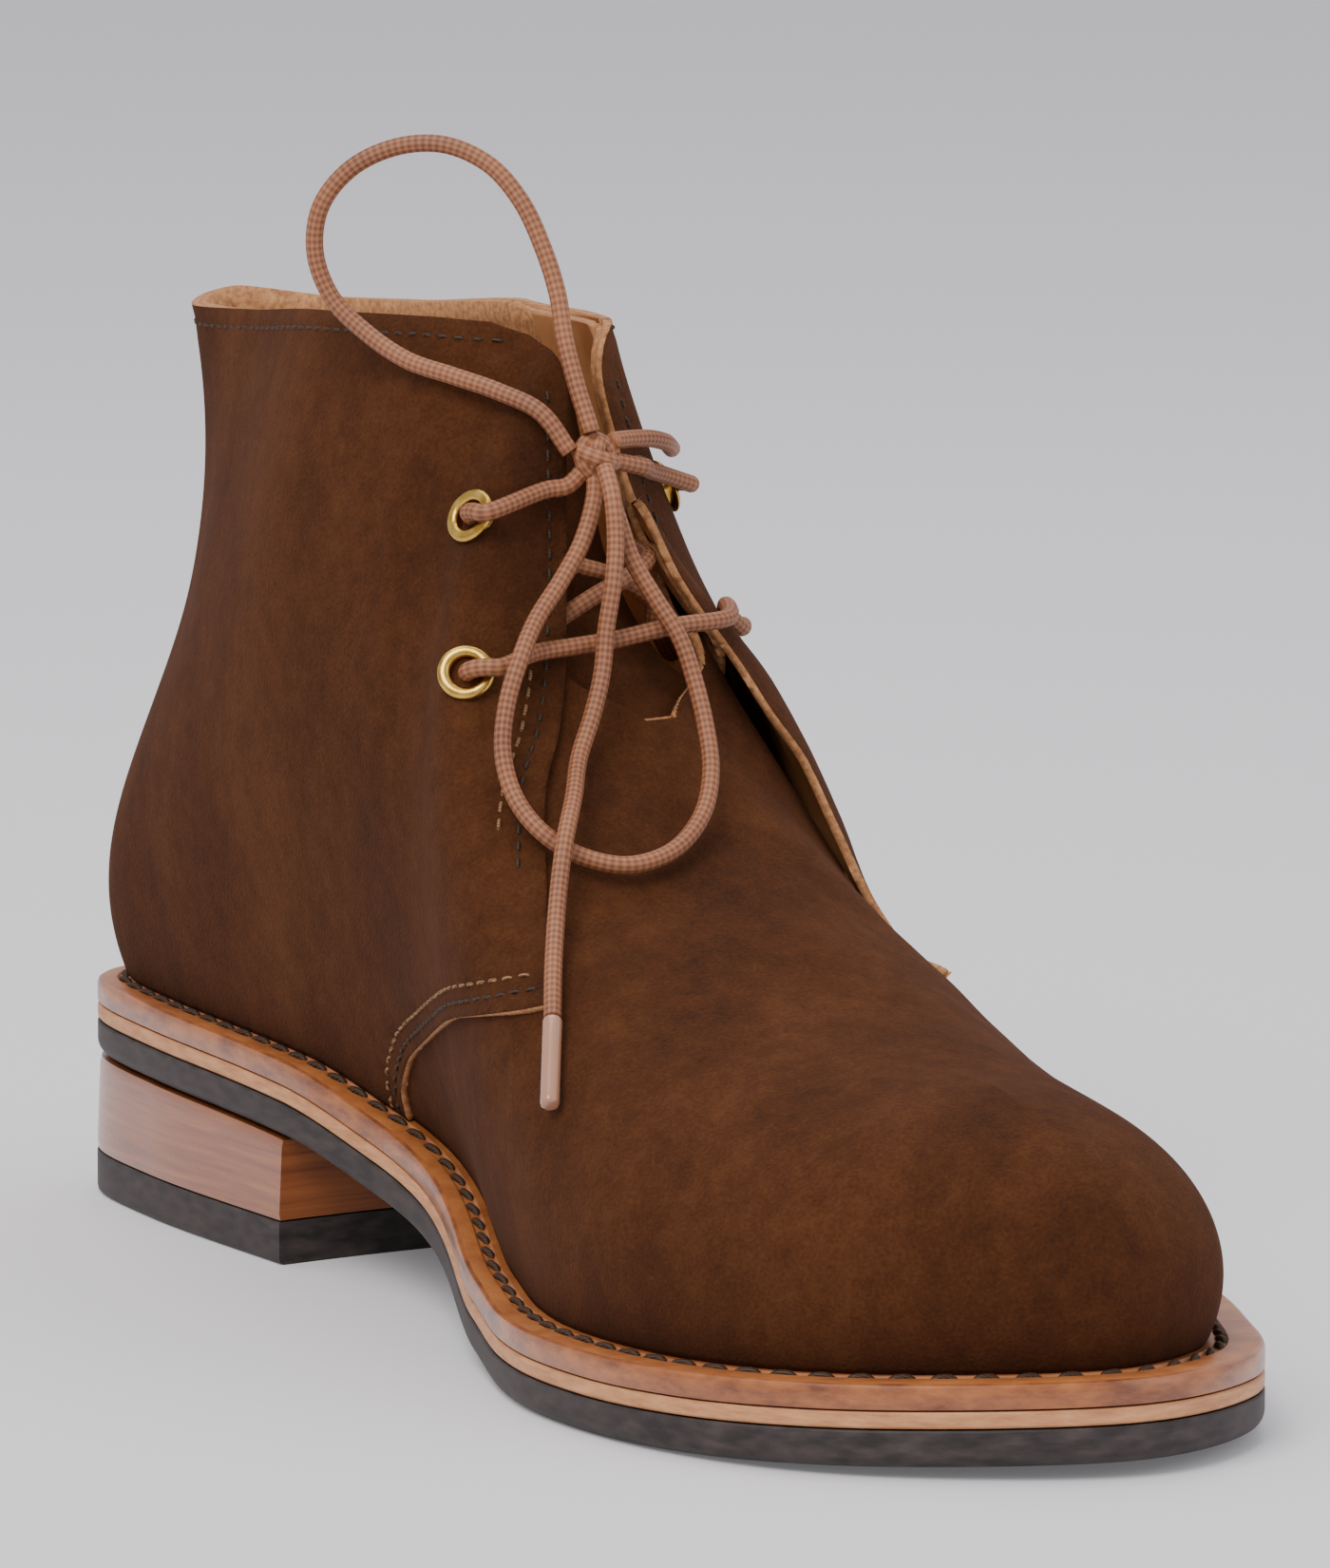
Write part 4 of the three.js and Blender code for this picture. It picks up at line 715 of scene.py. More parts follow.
def leather_material(name, stops, scale, roughness, coat=0.0, stretch=(1, 1, 1)):
    """Smooth leather: noise through a ramp of browns, with a fine pebbled bump."""
    material, tree, shader = new_material(name, Roughness=roughness, Coat_Weight=coat,
                                          Coat_Roughness=0.25)
    place = add_node(tree, "ShaderNodeTexCoord").outputs["Object"]
    drawn = add_node(tree, "ShaderNodeMapping", {"Vector": place, "Scale": stretch}).outputs[0]
    tone = add_node(tree, "ShaderNodeTexNoise", {"Vector": drawn, "Scale": scale, "Detail": 6,
                                                 "Roughness": 0.65}).outputs[0]
    tree.links.new(add_ramp(tree, tone, stops), shader.inputs["Base Color"])
    pebble = add_node(tree, "ShaderNodeTexNoise", {"Vector": place, "Scale": 1400, "Detail": 2}).outputs[0]
    bump = add_node(tree, "ShaderNodeBump", {"Height": pebble, "Strength": 0.4,
                                             "Distance": PEBBLE_DEPTH * MM})
    tree.links.new(bump.outputs[0], shader.inputs["Normal"])
    return material


SUEDE = suede_material("brown_suede", "#281409", "#442410", "#5a351c")
CUT_EDGE = leather_material("cut_leather_edge", [(0.35, "#8d5a33"), (0.65, "#c08a5a")], 900, 0.8)
LINING = leather_material("calf_lining", [(0.35, "#a2673a"), (0.65, "#c48a58")], 70, 0.55)
print("leathers", SUEDE.name, LINING.name)

# %% [markdown]
# A real upper isn't taut: a few soft ridges and troughs cross the ankle and the
# vamp, a third of a millimetre high. Each is a Gaussian band, listed below.

# %% Soft waves of the upper
# along, height, slope, width, reach and depth of each band
WAVES = (
    (112, 92, 0.30, 6.0, 34, 0.35), (120, 82, 0.42, 5.0, 30, -0.3), (96, 74, 0.15, 8.0, 40, 0.4),
    (60, 96, -0.1, 11.0, 36, -0.35), (196, 60, 1.2, 7.0, 26, 0.3), (182, 64, 1.4, 6.0, 24, -0.25),
)
LATERAL_SHARE = 0.8


def soft_waves(q, point):
    """Height of the waves: the sum of depth * exp(-(across / width)^2 - (along / reach)^2), and
    less of it on the lateral side."""
    along, z = ORIGIN_ALONG - point[:, 1], point[:, 2]
    side = np.where(q <= TOE, 1.0, LATERAL_SHARE)
    total = np.zeros(len(point))
    for s0, z0, slope, width, reach, depth in WAVES:
        across = (z - z0) - slope * (along - s0)
        total += depth * np.exp(-((across / width) ** 2) - (((along - s0) / reach) ** 2))
    return total * side


print("waves", len(WAVES))

# %% [markdown]
# The seams are worked out before the panels, because thread pulls the suede
# down into a soft trough. A seam is a path on the last. Most are found from
# two of their coordinates, such as height and distance across, by Newton's
# method, which lands on the surface itself and not on the nearest grid point.

# %% Find points on the last
def on_last(targets, axes, low, high, rows=(0.02, 0.99)):
    """Station and v where two coordinates of the last reach the targets. The grid's nearest point
    is the start; each step solves the 2 by 2 system of the differences."""
    targets = np.asarray(targets, float)
    near = np.flatnonzero((Q >= low) & (Q <= high) & (V >= rows[0]) & (V <= rows[1]))
    flat = LAST[near][:, axes]
    best = near[((flat[None] - targets[:, None]) ** 2).sum(axis=2).argmin(axis=1)]
    q, v = Q[best].copy(), V[best].copy()
    for _ in range(6):
        here = last_point(q, v)[:, axes]
        to_q = (last_point(q + 0.001, v)[:, axes] - here) / 0.001
        to_v = (last_point(q, v + 0.001)[:, axes] - here) / 0.001
        miss = targets - here
        det = to_q[:, 0] * to_v[:, 1] - to_q[:, 1] * to_v[:, 0]
        det = np.where(np.abs(det) < 1e-3, 1e9, det)
        q = np.clip(q + np.clip((miss[:, 0] * to_v[:, 1] - miss[:, 1] * to_v[:, 0]) / det, -0.1, 0.1),
                    low, high)
        v = np.clip(v + np.clip((to_q[:, 0] * miss[:, 1] - to_q[:, 1] * miss[:, 0]) / det, -0.05, 0.05),
                    0, 1)
    return q, v


def quarter_point(q, v):
    """Point of the quarters' outer face, and the normal there."""
    point, normal = last_point(q, v), last_normal(q, v)
    height = QUARTER_STEP + flare(q, point) + soft_waves(q, point)
    return point + normal * height[:, None], normal


def seam_down_facing(side, inset, top, bottom, count=160):
    """Seam along a facing's front edge, at a distance back from it."""
    z = np.linspace(top, bottom, count)
    x = quarter_in(z) - inset if side == "medial" else quarter_out(z) + inset
    low, high = (3.2, 8.9) if side == "medial" else (9.1, 14.8)
    q, v = on_last(np.stack([x, z], 1), [0, 2], low, high)
    return quarter_point(q, v)


def seam_round_collar(inset, count=600):
    """Seam under the collar, round the heel from one facing's edge to the other's."""
    q = np.linspace(-4.35, 4.35, count) % STATIONS
    v = np.linspace(0.85, 1, 40)
    strings = last_point(q[:, None], v[None])
    left = np.linalg.norm(np.diff(strings, axis=1), axis=2)[:, ::-1].cumsum(axis=1)
    at = np.array([np.interp(inset, row, v[-2::-1]) for row in left])
    return quarter_point(q, at)


def seam_round_quarter(side, inset, count=220):
    """Seam inside a quarter's lower edge, at a distance above it."""
    z = np.linspace(0.26 * INSTEP_HEIGHT, 0.92 * INSTEP_HEIGHT, count)
    along = quarter_limit(z)
    turn = np.gradient(along, z)
    along, z = along - inset / np.hypot(1, turn), z + inset * turn / np.hypot(1, turn)
    low, high = (2.5, 7.5) if side == "medial" else (10.5, 15.5)
    q, v = on_last(np.stack([ORIGIN_ALONG - along, z], 1), [1, 2], low, high, (0.02, 0.8))
    return quarter_point(q, v)


def on_quarter(seam):
    """The seam's stretches on the quarter without a jump, of a dozen points or more."""
    path, normals = seam
    behind = quarter_limit(path[:, 2]) - (ORIGIN_ALONG - path[:, 1])
    good = np.isfinite(path).all(axis=1) & np.isfinite(normals).all(axis=1)
    good &= np.minimum(behind, throat_field(path, quarter_in, quarter_out, THROAT_LOW)) > 1.0
    step = np.linalg.norm(np.diff(path, axis=0, prepend=path[:1]), axis=1)
    breaks = np.flatnonzero(~good | (step > 4 * np.median(step) + 0.5))
    ends = np.concatenate([[-1], breaks, [len(path)]])
    runs = [slice(a + 1, b) for a, b in zip(ends, ends[1:]) if b - a > 12]
    return [(path[run], normals[run]) for run in runs]


COLLAR_TOP, FACING_FOOT = 147.5, 62
EDGE_ROW, FOOT_ROW, FOOT_ROW_INNER = 3.0, 2.4, 4.8  # distances from the panel's edge
SEAMS = {
    "collar": seam_round_collar(EDGE_ROW),
    "facing_medial": seam_down_facing("medial", EDGE_ROW, COLLAR_TOP, FACING_FOOT),
    "facing_lateral": seam_down_facing("lateral", EDGE_ROW, COLLAR_TOP, FACING_FOOT),
    "facing_medial_inner": seam_down_facing("medial", 5.6, 108, 64),
    "foot_medial": seam_round_quarter("medial", FOOT_ROW),
    "foot_lateral": seam_round_quarter("lateral", FOOT_ROW),
    "foot_medial_inner": seam_round_quarter("medial", FOOT_ROW_INNER),
    "foot_lateral_inner": seam_round_quarter("lateral", FOOT_ROW_INNER),
}
SEAMS = {f"{name}_{i}": run for name, seam in SEAMS.items() for i, run in enumerate(on_quarter(seam))}
print({name: len(seam[0]) for name, seam in SEAMS.items()})

# %% [markdown]
# Every row of thread pulls the suede down. The groove's depth is worked out
# from the distance to the nearest seam, for all points of a panel at once.

# %% Troughs under the seams
def trough(points, depth=0.35, width=0.9):
    """Depth of the soft groove that every seam pulls: depth * exp(-(d / width) ** 2)."""
    nearest = np.full(len(points), 99.0)
    for path, _ in SEAMS.values():
        low, high = path.min(axis=0) - 4, path.max(axis=0) + 4
        near = np.flatnonzero(((points > low) & (points < high)).all(axis=1))
        for block in np.array_split(near, max(len(near) // 4000, 1)):
            if len(block):
                apart = np.linalg.norm(points[block][:, None] - path[None, ::2], axis=2).min(axis=1)
                nearest[block] = np.minimum(nearest[block], apart)
    return depth * np.exp(-((nearest / width) ** 2))


# %% [markdown]
# The upper has two quarters in one piece round the heel, a vamp that runs
# under them, and a lining. Each is a trimmed sheet with a thickness: the suede
# is 1.4 mm and the lining 1.2 mm. The rim has its own, paler material.

# %% Panels of the upper
SUEDE_THICK, LINING_THICK, LAP = 1.4, 1.2, 12
VAMP_TOP = 0.835 * COLLAR_HEIGHT
FOOT_SHADE, FOOT_SHADE_HEIGHT = 0.55, 5.0
LINING_DEPTH, LINING_RISE, LINING_FLARE, LINING_BLEND = 1.6, 1.3, 0.9, (97, 106)


def panel(name, offset, keep, thickness, materials, nodes=(), sink=None, grid=None):
    """Last's grid moved out by offset(q, points), trimmed where keep(points) is positive and given
    a thickness inwards."""
    q, v, last, normal, triangles = grid or (Q, V, LAST, NORMAL, TRIANGLES)
    high = offset(q, last)
    points = last + normal * high[:, None]
    if sink is not None:
        points = points - normal * sink(points)[:, None]
    low = v < 1e-6
    points[low, 2] = seat(ORIGIN_ALONG - points[low, 1]) + GAP * 0.5
    # Painted shade: darkest at the welt's top and fading upwards over FOOT_SHADE_HEIGHT, kept in the
    # attribute darker.
    above_welt = last[:, 2] - seat(ORIGIN_ALONG - last[:, 1])
    dark = FOOT_SHADE * np.exp(-(above_welt / FOOT_SHADE_HEIGHT))
    values = np.concatenate([points, dark[:, None]], axis=1)
    values, faces = trimmed(values, triangles, keep(points))
    piece = make_piece(name, values[:, :3], faces, materials[0], nodes, "suede")
    for extra in materials[1:]:
        piece.data.materials.append(extra)
    layer = piece.data.attributes.new("darker", "FLOAT", "POINT")
    layer.data.foreach_set("value", np.clip(values[:, 3], 0, 1).astype(np.float32))
    wall = piece.modifiers.new("thickness", "SOLIDIFY")
    wall.thickness = thickness * MM
    wall.offset = -1
    wall.use_even_offset = False
    wall.material_offset_rim = min(1, len(materials) - 1)
    wall.material_offset = min(2, len(materials) - 1)
    print(name, len(values), "points", len(faces), "triangles")
    return piece


def quarter_keep(point):
    """Positive on the quarters: behind their lower edge and outside the throat."""
    behind = quarter_limit(point[:, 2]) - (ORIGIN_ALONG - point[:, 1])
    return np.minimum(behind, throat_field(point, quarter_in, quarter_out, THROAT_LOW))


def vamp_keep(point):
    """Positive on the vamp, with its lap under the quarters and outside its own opening."""
    ahead = (ORIGIN_ALONG - point[:, 1]) - quarter_limit(point[:, 2]) + LAP
    opening = throat_field(point, vamp_in, vamp_out, floor=VAMP_TOP)
    between = LAP - throat_field(point, quarter_in, quarter_out, THROAT_LOW)
    return np.minimum(np.maximum(ahead, between), opening)


def lining_offset(q, point):
    """The lining lies inside the vamp, and above the blend it comes out to the quarters' wall."""
    out = flare(q, point) * LINING_FLARE + LINING_RISE
    return -LINING_DEPTH + out * smoothstep(point[:, 2], *LINING_BLEND)


def lining_keep(point):
    """Positive on the lining: outside the quarters' throat, and on the vamp up to its top."""
    opening = throat_field(point, lambda z: quarter_in(z) - 0.4, lambda z: quarter_out(z) + 0.4)
    return np.maximum(opening, np.where(point[:, 1] < 0, VAMP_TOP - point[:, 2], -9))


quarters = panel(
    "quarters", lambda q, p: QUARTER_STEP + flare(q, p) + soft_waves(q, p), quarter_keep, SUEDE_THICK,
    (SUEDE, CUT_EDGE, LINING), ("upper",), sink=trough,
)
vamp = panel("vamp", soft_waves, vamp_keep, SUEDE_THICK, (SUEDE, CUT_EDGE, LINING))
lining = panel(
    "lining", lining_offset, lining_keep, LINING_THICK, (LINING, CUT_EDGE), grid=last_grid(360, 50),
)

# %% [markdown]
# The tongue is a flap of suede that stands behind the lacing. It is made as a
# bowed sheet: at each height a quadratic Bezier curve runs across it, from the
# medial edge to the lateral, which needs only three points a row.

# %% Stand the tongue
TONGUE_THICK = 1.8
# height, then medial, middle and lateral edge, each across and along
TONGUE = np.array([
    (76.5, -14, 54, -3.5, 54.3, 9.5, 52.7), (83.5, -15.5, 51.5, -4.5, 51.9, 9.5, 50.5),
    (90.5, -16.5, 48.6, -5.5, 48.8, 5.9, 47.2), (97.5, -16.5, 46.8, -6.5, 47, 3, 45.7),
    (104.5, -16, 45.6, -7, 45.7, 1.8, 44.1), (113, -15, 45.4, -7.5, 45.4, 1, 43.4),
    (121.5, -14, 44.5, -7.5, 44.8, 0.5, 42.2), (128.5, -12.5, 43.4, -8, 44.2, 0, 41.7),
]) / 100 * np.array([COLLAR_HEIGHT, *(BALL_WIDTH, LENGTH) * 3])


def sheet(outer, inner):
    """Points and faces of a closed sheet between two grids of the same shape."""
    high, wide = outer.shape[:2]
    number = np.arange(high * wide).reshape(high, wide)
    a, b, c, d = number[:-1, :-1], number[:-1, 1:], number[1:, 1:], number[1:, :-1]
    front = np.stack([a, b, c, d], -1).reshape(-1, 4)
    back = np.stack([a, d, c, b], -1).reshape(-1, 4) + high * wide
    rim = np.concatenate([number[0, :-1], number[:-1, -1], number[-1, :0:-1], number[:0:-1, 0]])
    following = np.roll(rim, -1)
    sides = np.stack([following, rim, rim + high * wide, following + high * wide], -1)
    points = np.concatenate([outer.reshape(-1, 3), inner.reshape(-1, 3)])
    return points, np.concatenate([front, back, sides])


def tongue_face(depth, up=90, across=48):
    """Grid of points: B(t) = (1-t)^2 medial + 2t(1-t) bend + t^2 lateral, where the bend puts B(1/2)
    on the middle."""
    z = np.linspace(TONGUE[0, 0], TONGUE[-1, 0], up)
    x = [smooth(TONGUE[:, 0], TONGUE[:, k])(z) for k in (1, 3, 5)]
    s = [smooth(TONGUE[:, 0], TONGUE[:, k])(z) - depth for k in (2, 4, 6)]
    t = np.linspace(0, 1, across)[None]
    curve = [(1 - t) ** 2 * a[:, None] + 2 * t * (1 - t) * (2 * m - (a + b) / 2)[:, None]
             + t**2 * b[:, None] for a, m, b in (x, s)]
    ripple = 0.25 * np.sin(z / 9)[:, None] * np.sin(math.pi * t)
    return np.stack([curve[0], ORIGIN_ALONG - curve[1] - ripple,
                     np.broadcast_to(z[:, None], curve[0].shape)], axis=-1)


outer, inner = tongue_face(0.0), tongue_face(TONGUE_THICK)
tongue = make_piece("tongue", *sheet(outer, inner), SUEDE, ("tongue",), "suede")
tongue.data.materials.append(CUT_EDGE)
tongue.data.materials.append(LINING)
front_faces = (outer.shape[0] - 1) * (outer.shape[1] - 1)
index = np.ones(len(tongue.data.polygons), dtype=np.int32)
index[:front_faces] = 0
index[front_faces : 2 * front_faces] = 2
tongue.data.polygons.foreach_set("material_index", index)
tongue.data.set_sharp_from_angle(angle=0.7)
print("tongue", len(tongue.data.polygons), "faces")

# %% [markdown]
# Eyelets and lace are placed by their height and their distance round the
# front from the ridge. Bisection finds the ridge and the level line there, and
# the distance is counted along that line.

# %% Places on the boot's front
def bisect(low, high, holds):
    """Where a test that holds at the low end stops holding, halving the range 40 times."""
    for _ in range(40):
        middle = (low + high) / 2
        keep = holds(middle)
        low, high = np.where(keep, middle, low), np.where(keep, high, middle)
    return low


def front_place(height, across):
    """Point on the last, normal and height of the quarters' face, for a height in percent of
    COLLAR_HEIGHT and a distance round in percent of BALL_WIDTH, negative on the medial side."""
    z, left = height * COLLAR_HEIGHT / 100, abs(across) * BALL_WIDTH / 100
    start = bisect(np.array([RIDGE_START]), np.array([TOE * 1.0]), lambda k: last_point(k, 1.0)[:, 2] > z)
    k = start - np.arange(60) * 0.05
    q = k if across < 0 else STATIONS - k
    v = bisect(np.zeros(60), np.ones(60), lambda t: last_point(q, t)[:, 2] < z)
    steps = np.linalg.norm(np.diff(last_point(q, v), axis=0), axis=1)
    at = np.array([np.interp(left, np.concatenate([[0], steps.cumsum()]), q)])
    v = bisect(np.zeros(1), np.ones(1), lambda t: last_point(at, t)[:, 2] < z)
    point, normal = last_point(at, v), last_normal(at, v)
    return point[0], normal[0], QUARTER_STEP + float(flare(at, point)[0])


# height and distance round, in percent
EYELETS = {
    "eyelet_medial_upper": (110.5, -15.9),
    "eyelet_medial_lower": (90.5, -22.5),
    "eyelet_lateral_upper": (110.5, 27.5),
    "eyelet_lateral_lower": (90.5, 36),
}
SPOTS = {name: front_place(*row) for name, row in EYELETS.items()}
print({name: np.round(spot[0], 1).tolist() for name, spot in SPOTS.items()})

# %% [markdown]
# An eyelet is one brass shape turned round its axis: a rolled flange, a barrel
# through the wall and a lip clenched inside. A ring and a pipe would need
# joining, and one closed profile, turned, gives both without a seam.

# %% Set the eyelets
EYELET_WIDTH, EYELET_HOLE, EYELET_WALL, EYELET_FLANGE, EYELET_LIP = 9, 5, 0.6, 0.9, 7.4
EASE, LIP_ROUND = 0.2, 0.3  # rounding of the flange's and the lip's edges


def brass_material():
    """Polished brass, its colour and roughness a little cloudy from handling."""
    material, tree, shader = new_material("brass", Metallic=1.0)
    place = add_node(tree, "ShaderNodeTexCoord").outputs["Object"]
    cloud = add_node(tree, "ShaderNodeTexNoise", {"Vector": place, "Scale": 420, "Detail": 4}).outputs[0]
    tree.links.new(add_ramp(tree, cloud, [(0.3, "#a67c30"), (0.7, "#e0bb63")]), shader.inputs["Base Color"])
    rough = add_node(tree, "ShaderNodeMapRange", {"Value": cloud, "To Min": 0.14, "To Max": 0.36})
    tree.links.new(rough.outputs[0], shader.inputs["Roughness"])
    return material


BRASS = brass_material()


def turned(profile, point, normal, sides=56):
    """Points and faces of a closed profile of radius and height, turned round a normal."""
    level = np.cross([0, 0, 1], normal)
    level /= np.linalg.norm(level)
    other = np.cross(normal, level)
    angle = np.arange(sides) / sides * math.tau
    ring = np.cos(angle)[:, None] * level + np.sin(angle)[:, None] * other
    points = point + profile[:, :1, None] * ring[None] + profile[:, 1, None, None] * normal
    count = len(profile)
    i, j = (a.ravel() for a in np.meshgrid(np.arange(count), np.arange(sides), indexing="ij"))

    def number(a, b):
        return (a % count) * sides + b % sides

    faces = np.stack([number(i, j), number(i, j + 1), number(i + 1, j + 1), number(i + 1, j)], axis=1)
    return points.reshape(-1, 3), faces


def eyelet_piece(name):
    """The flange's section is a half round, and the barrel and the lip are thin walls."""
    point, normal, face = SPOTS[name]
    hole, flange, lip = EYELET_HOLE / 2, EYELET_WIDTH / 2, EYELET_LIP / 2
    barrel, inside = hole + EYELET_WALL, -(face + VAMP_WALL + 0.1)
    turn = np.linspace(0, math.pi, 14)
    middle, half = (flange + hole) / 2, (flange - hole) / 2
    rounded = GAP + EASE + (EYELET_FLANGE - EASE) * np.sin(turn)
    profile = np.concatenate([
        [(barrel, GAP), (flange - EASE, GAP)], np.stack([middle + half * np.cos(turn), rounded], 1),
        [(hole, inside - LIP_ROUND), (hole + EASE, inside - EYELET_WALL),
         (lip - EASE, inside - EYELET_WALL), (lip, inside - LIP_ROUND), (lip - EASE, inside),
         (barrel, inside)],
    ])
    points, faces = turned(profile, point + normal * face, normal)
    piece = make_piece(name, points, faces[:, ::-1], BRASS, (name,), "brass")
    weld(piece.data)
    piece.data.set_sharp_from_angle(angle=0.9)
    return piece


for name in EYELETS:
    eyelet_piece(name)
print("eyelets", len(EYELETS))

# %% [markdown]
# One lace runs from the knot through all four eyelets and back: over the
# facing to the medial upper eyelet, under to the lateral lower, a bar across
# to the medial lower, under again to the lateral upper and over to the knot.

# %% Thread the lace
# towards the throat, layer and distance from it, through one eyelet
EYELET_TURN = ((5.4, 1, 2.9), (3.3, 1, 2.95), (1.4, 1, 2.3), (0.3, 1, 1), (0, 1, -1), (0, -1, 0.2),
               (0.3, -1, 1.8), (1.3, -1, 3.4), (3, -1, 4.5))
# height, round, layer and distance from it
FROM_KNOT = ((114.2, -3.4, 1, 3), (113.8, -6.6, 1, 2.3))
FIRST_CROSSING = ((108, -9.4, -1, 4.9), (104.8, -2, 0, -3.4), (102, 6.2, 0, -3.3),
                  (99.5, 12.4, 0, -3.4), (96.8, 19, -1, 2.4), (94, 26, -1, 3))
LOWER_BAR = ((92.8, 27, 1, 2.3), (93.2, 21, 1, 2.7), (93.2, 14, 1, 2.9), (92.8, 6, 1, 3),
             (92.4, -1, 1, 3.2), (92.1, -7, 1, 2.6), (91.8, -13, 1, 2.3))
SECOND_CROSSING = ((93.4, -14.6, -1, 2.6), (96.8, -6.5, 0, -3.6), (99.6, 0.4, 0, -1.3),
                   (102, 6.2, 0, 0.1), (104.2, 11.4, 0, -0.8), (106.4, 16.6, 0, -3.2),
                   (108.4, 21.6, -1, 3))
TO_KNOT = ((113, 19.5, 1, 2.3), (114, 14.5, 1, 2.3), (114.4, 9.6, 1, 2.8), (114.4, 6.2, 1, 3.2))


def layer_point(spot, layer, clear):
    """Point over the quarters' face, the open throat or under the wall, at a distance from it."""
    point, normal, face = spot
    base = face if layer > 0 else (-VAMP_WALL if layer < 0 else 0)
    return point + normal * (base + (-clear if layer < 0 else clear))


def lace_run(rows):
    """Points of the lace between two eyelets."""
    return [layer_point(front_place(height, across), layer, clear) for height, across, layer, clear in rows]


def lace_turn(name):
    """Points of the lace through an eyelet, from outside to inside."""
    spot = SPOTS[name]
    level = np.cross([0, 0, 1], spot[1])
    level /= np.linalg.norm(level)
    if level[0] * EYELETS[name][1] > 0:
        level = -level
    return [layer_point(spot, layer, clear) + level * towards for towards, layer, clear in EYELET_TURN]


first, last = lace_run(FROM_KNOT), lace_run(TO_KNOT)
knot_middle = np.array(KNOT_MIDDLE) / MM
route = [
    knot_middle + (first[0] - knot_middle) * 0.25, *first,
    *lace_turn("eyelet_medial_upper"), *lace_run(FIRST_CROSSING),
    *lace_turn("eyelet_lateral_lower")[::-1], *lace_run(LOWER_BAR),
    *lace_turn("eyelet_medial_lower"), *lace_run(SECOND_CROSSING),
    *lace_turn("eyelet_lateral_upper")[::-1], *last,
    knot_middle + (last[-1] - knot_middle) * 0.25,
]
lacing = lace_piece("lacing", curve_through(route), ("lacing",))
print("lacing", len(lacing.data.polygons), "faces")

# %% [markdown]
# Every seam shows as single stitches, each bowed over the surface between two
# holes. A bump in the material would look flat from the side, so each stitch
# is a short tube, and a row is one mesh. The welt's stitches are longer,
# thicker and lie at a slant.

# %% Sew the seams
def thread_material(name, dark, light):
    """Twisted thread: waves that run diagonally through it, about half a millimetre apart."""
    material, tree, shader = new_material(name, Roughness=0.6, Specular_IOR_Level=0.35)
    place = add_node(tree, "ShaderNodeTexCoord").outputs["Object"]
    twist = add_node(tree, "ShaderNodeTexWave", {"Vector": place, "Scale": 900, "Distortion": 2},
                     bands_direction="DIAGONAL").outputs["Fac"]
    tree.links.new(add_ramp(tree, twist, [(0.2, dark), (0.9, light)]), shader.inputs["Base Color"])
    return material


DARK_THREAD = thread_material("dark_thread", "#1d130c", "#43301f")
PALE_THREAD = thread_material("pale_thread", "#5a3b22", "#9a7349")
WELT_THREAD = thread_material("welt_thread", "#1f130b", "#4d3018")


def sew(name, path, normals, material, length=2.1, pitch=3.1, radius=0.3, lift=-0.1, slant=0.0):
    """A row of stitches in one mesh. Each is a tube whose height is
    lift - 2.4 radius (2t - 1)^4, so that its ends go down into their holes."""
    run = np.concatenate([[0], np.cumsum(np.linalg.norm(np.diff(path, axis=0), axis=1))])
    t = np.linspace(0, 1, 9)
    drop = lift - 2.4 * radius * (2 * t - 1) ** 4
    taper = radius * (1 - 0.35 * (2 * t - 1) ** 6)
    points, faces, total = [], [], 0
    for start in np.arange(pitch / 2, run[-1] - length, pitch):
        at = start + t * length
        centre = np.stack([np.interp(at, run, path[:, k]) for k in range(3)], axis=1)
        up = np.array([np.interp(at.mean(), run, normals[:, k]) for k in range(3)])
        along = centre[-1] - centre[0]
        side = np.cross(up, along)
        side *= math.tan(slant) * length / max(np.linalg.norm(side), 1e-9)
        curve = centre + up * drop[:, None] + side * (t - 0.5)[:, None]
        ring, ends, _ = tube(curve, taper, sides=8)
        points.append(ring)
        faces += [[corner + total for corner in face] for face in ends]
        total += len(ring)
    if not points:
        return 0
    piece = make_piece(name, np.concatenate(points), faces, material)
    weld(piece.data)
    return len(points)


count = 0
for name, (path, normals) in SEAMS.items():
    thread = PALE_THREAD if "inner" in name else DARK_THREAD
    count += sew(f"stitches_{name}", path, normals, thread)
print("stitches", count)

# %% [markdown]
# The sole is a pile of bands with the same outline: rubber, a pale leather
# midsole and the welt. A band is a profile of margin and height carried round
# the sole's edge, and its flat faces close along the sole's middle line.

# %% Materials of the sole
def rubber_material():
    """Matt dark rubber with soft scuffs, a few millimetres across."""
    material, tree, shader = new_material("dark_rubber", Specular_IOR_Level=0.4)
    place = add_node(tree, "ShaderNodeTexCoord").outputs["Object"]
    drawn = add_node(tree, "ShaderNodeMapping", {"Vector": place, "Scale": (1, 1, 3)}).outputs[0]
    scuff = add_node(tree, "ShaderNodeTexNoise", {"Vector": drawn, "Scale": 190, "Detail": 6}).outputs[0]
    tone = add_ramp(tree, scuff, [(0.35, "#241d1c"), (0.7, "#453b39")])
    tree.links.new(tone, shader.inputs["Base Color"])
    rough = add_node(tree, "ShaderNodeMapRange", {"Value": scuff, "To Min": 0.45, "To Max": 0.75})
    tree.links.new(rough.outputs[0], shader.inputs["Roughness"])
    bump = add_node(tree, "ShaderNodeBump", {"Height": scuff, "Strength": 0.3, "Distance": 0.0003})
    tree.links.new(bump.outputs[0], shader.inputs["Normal"])
    return material


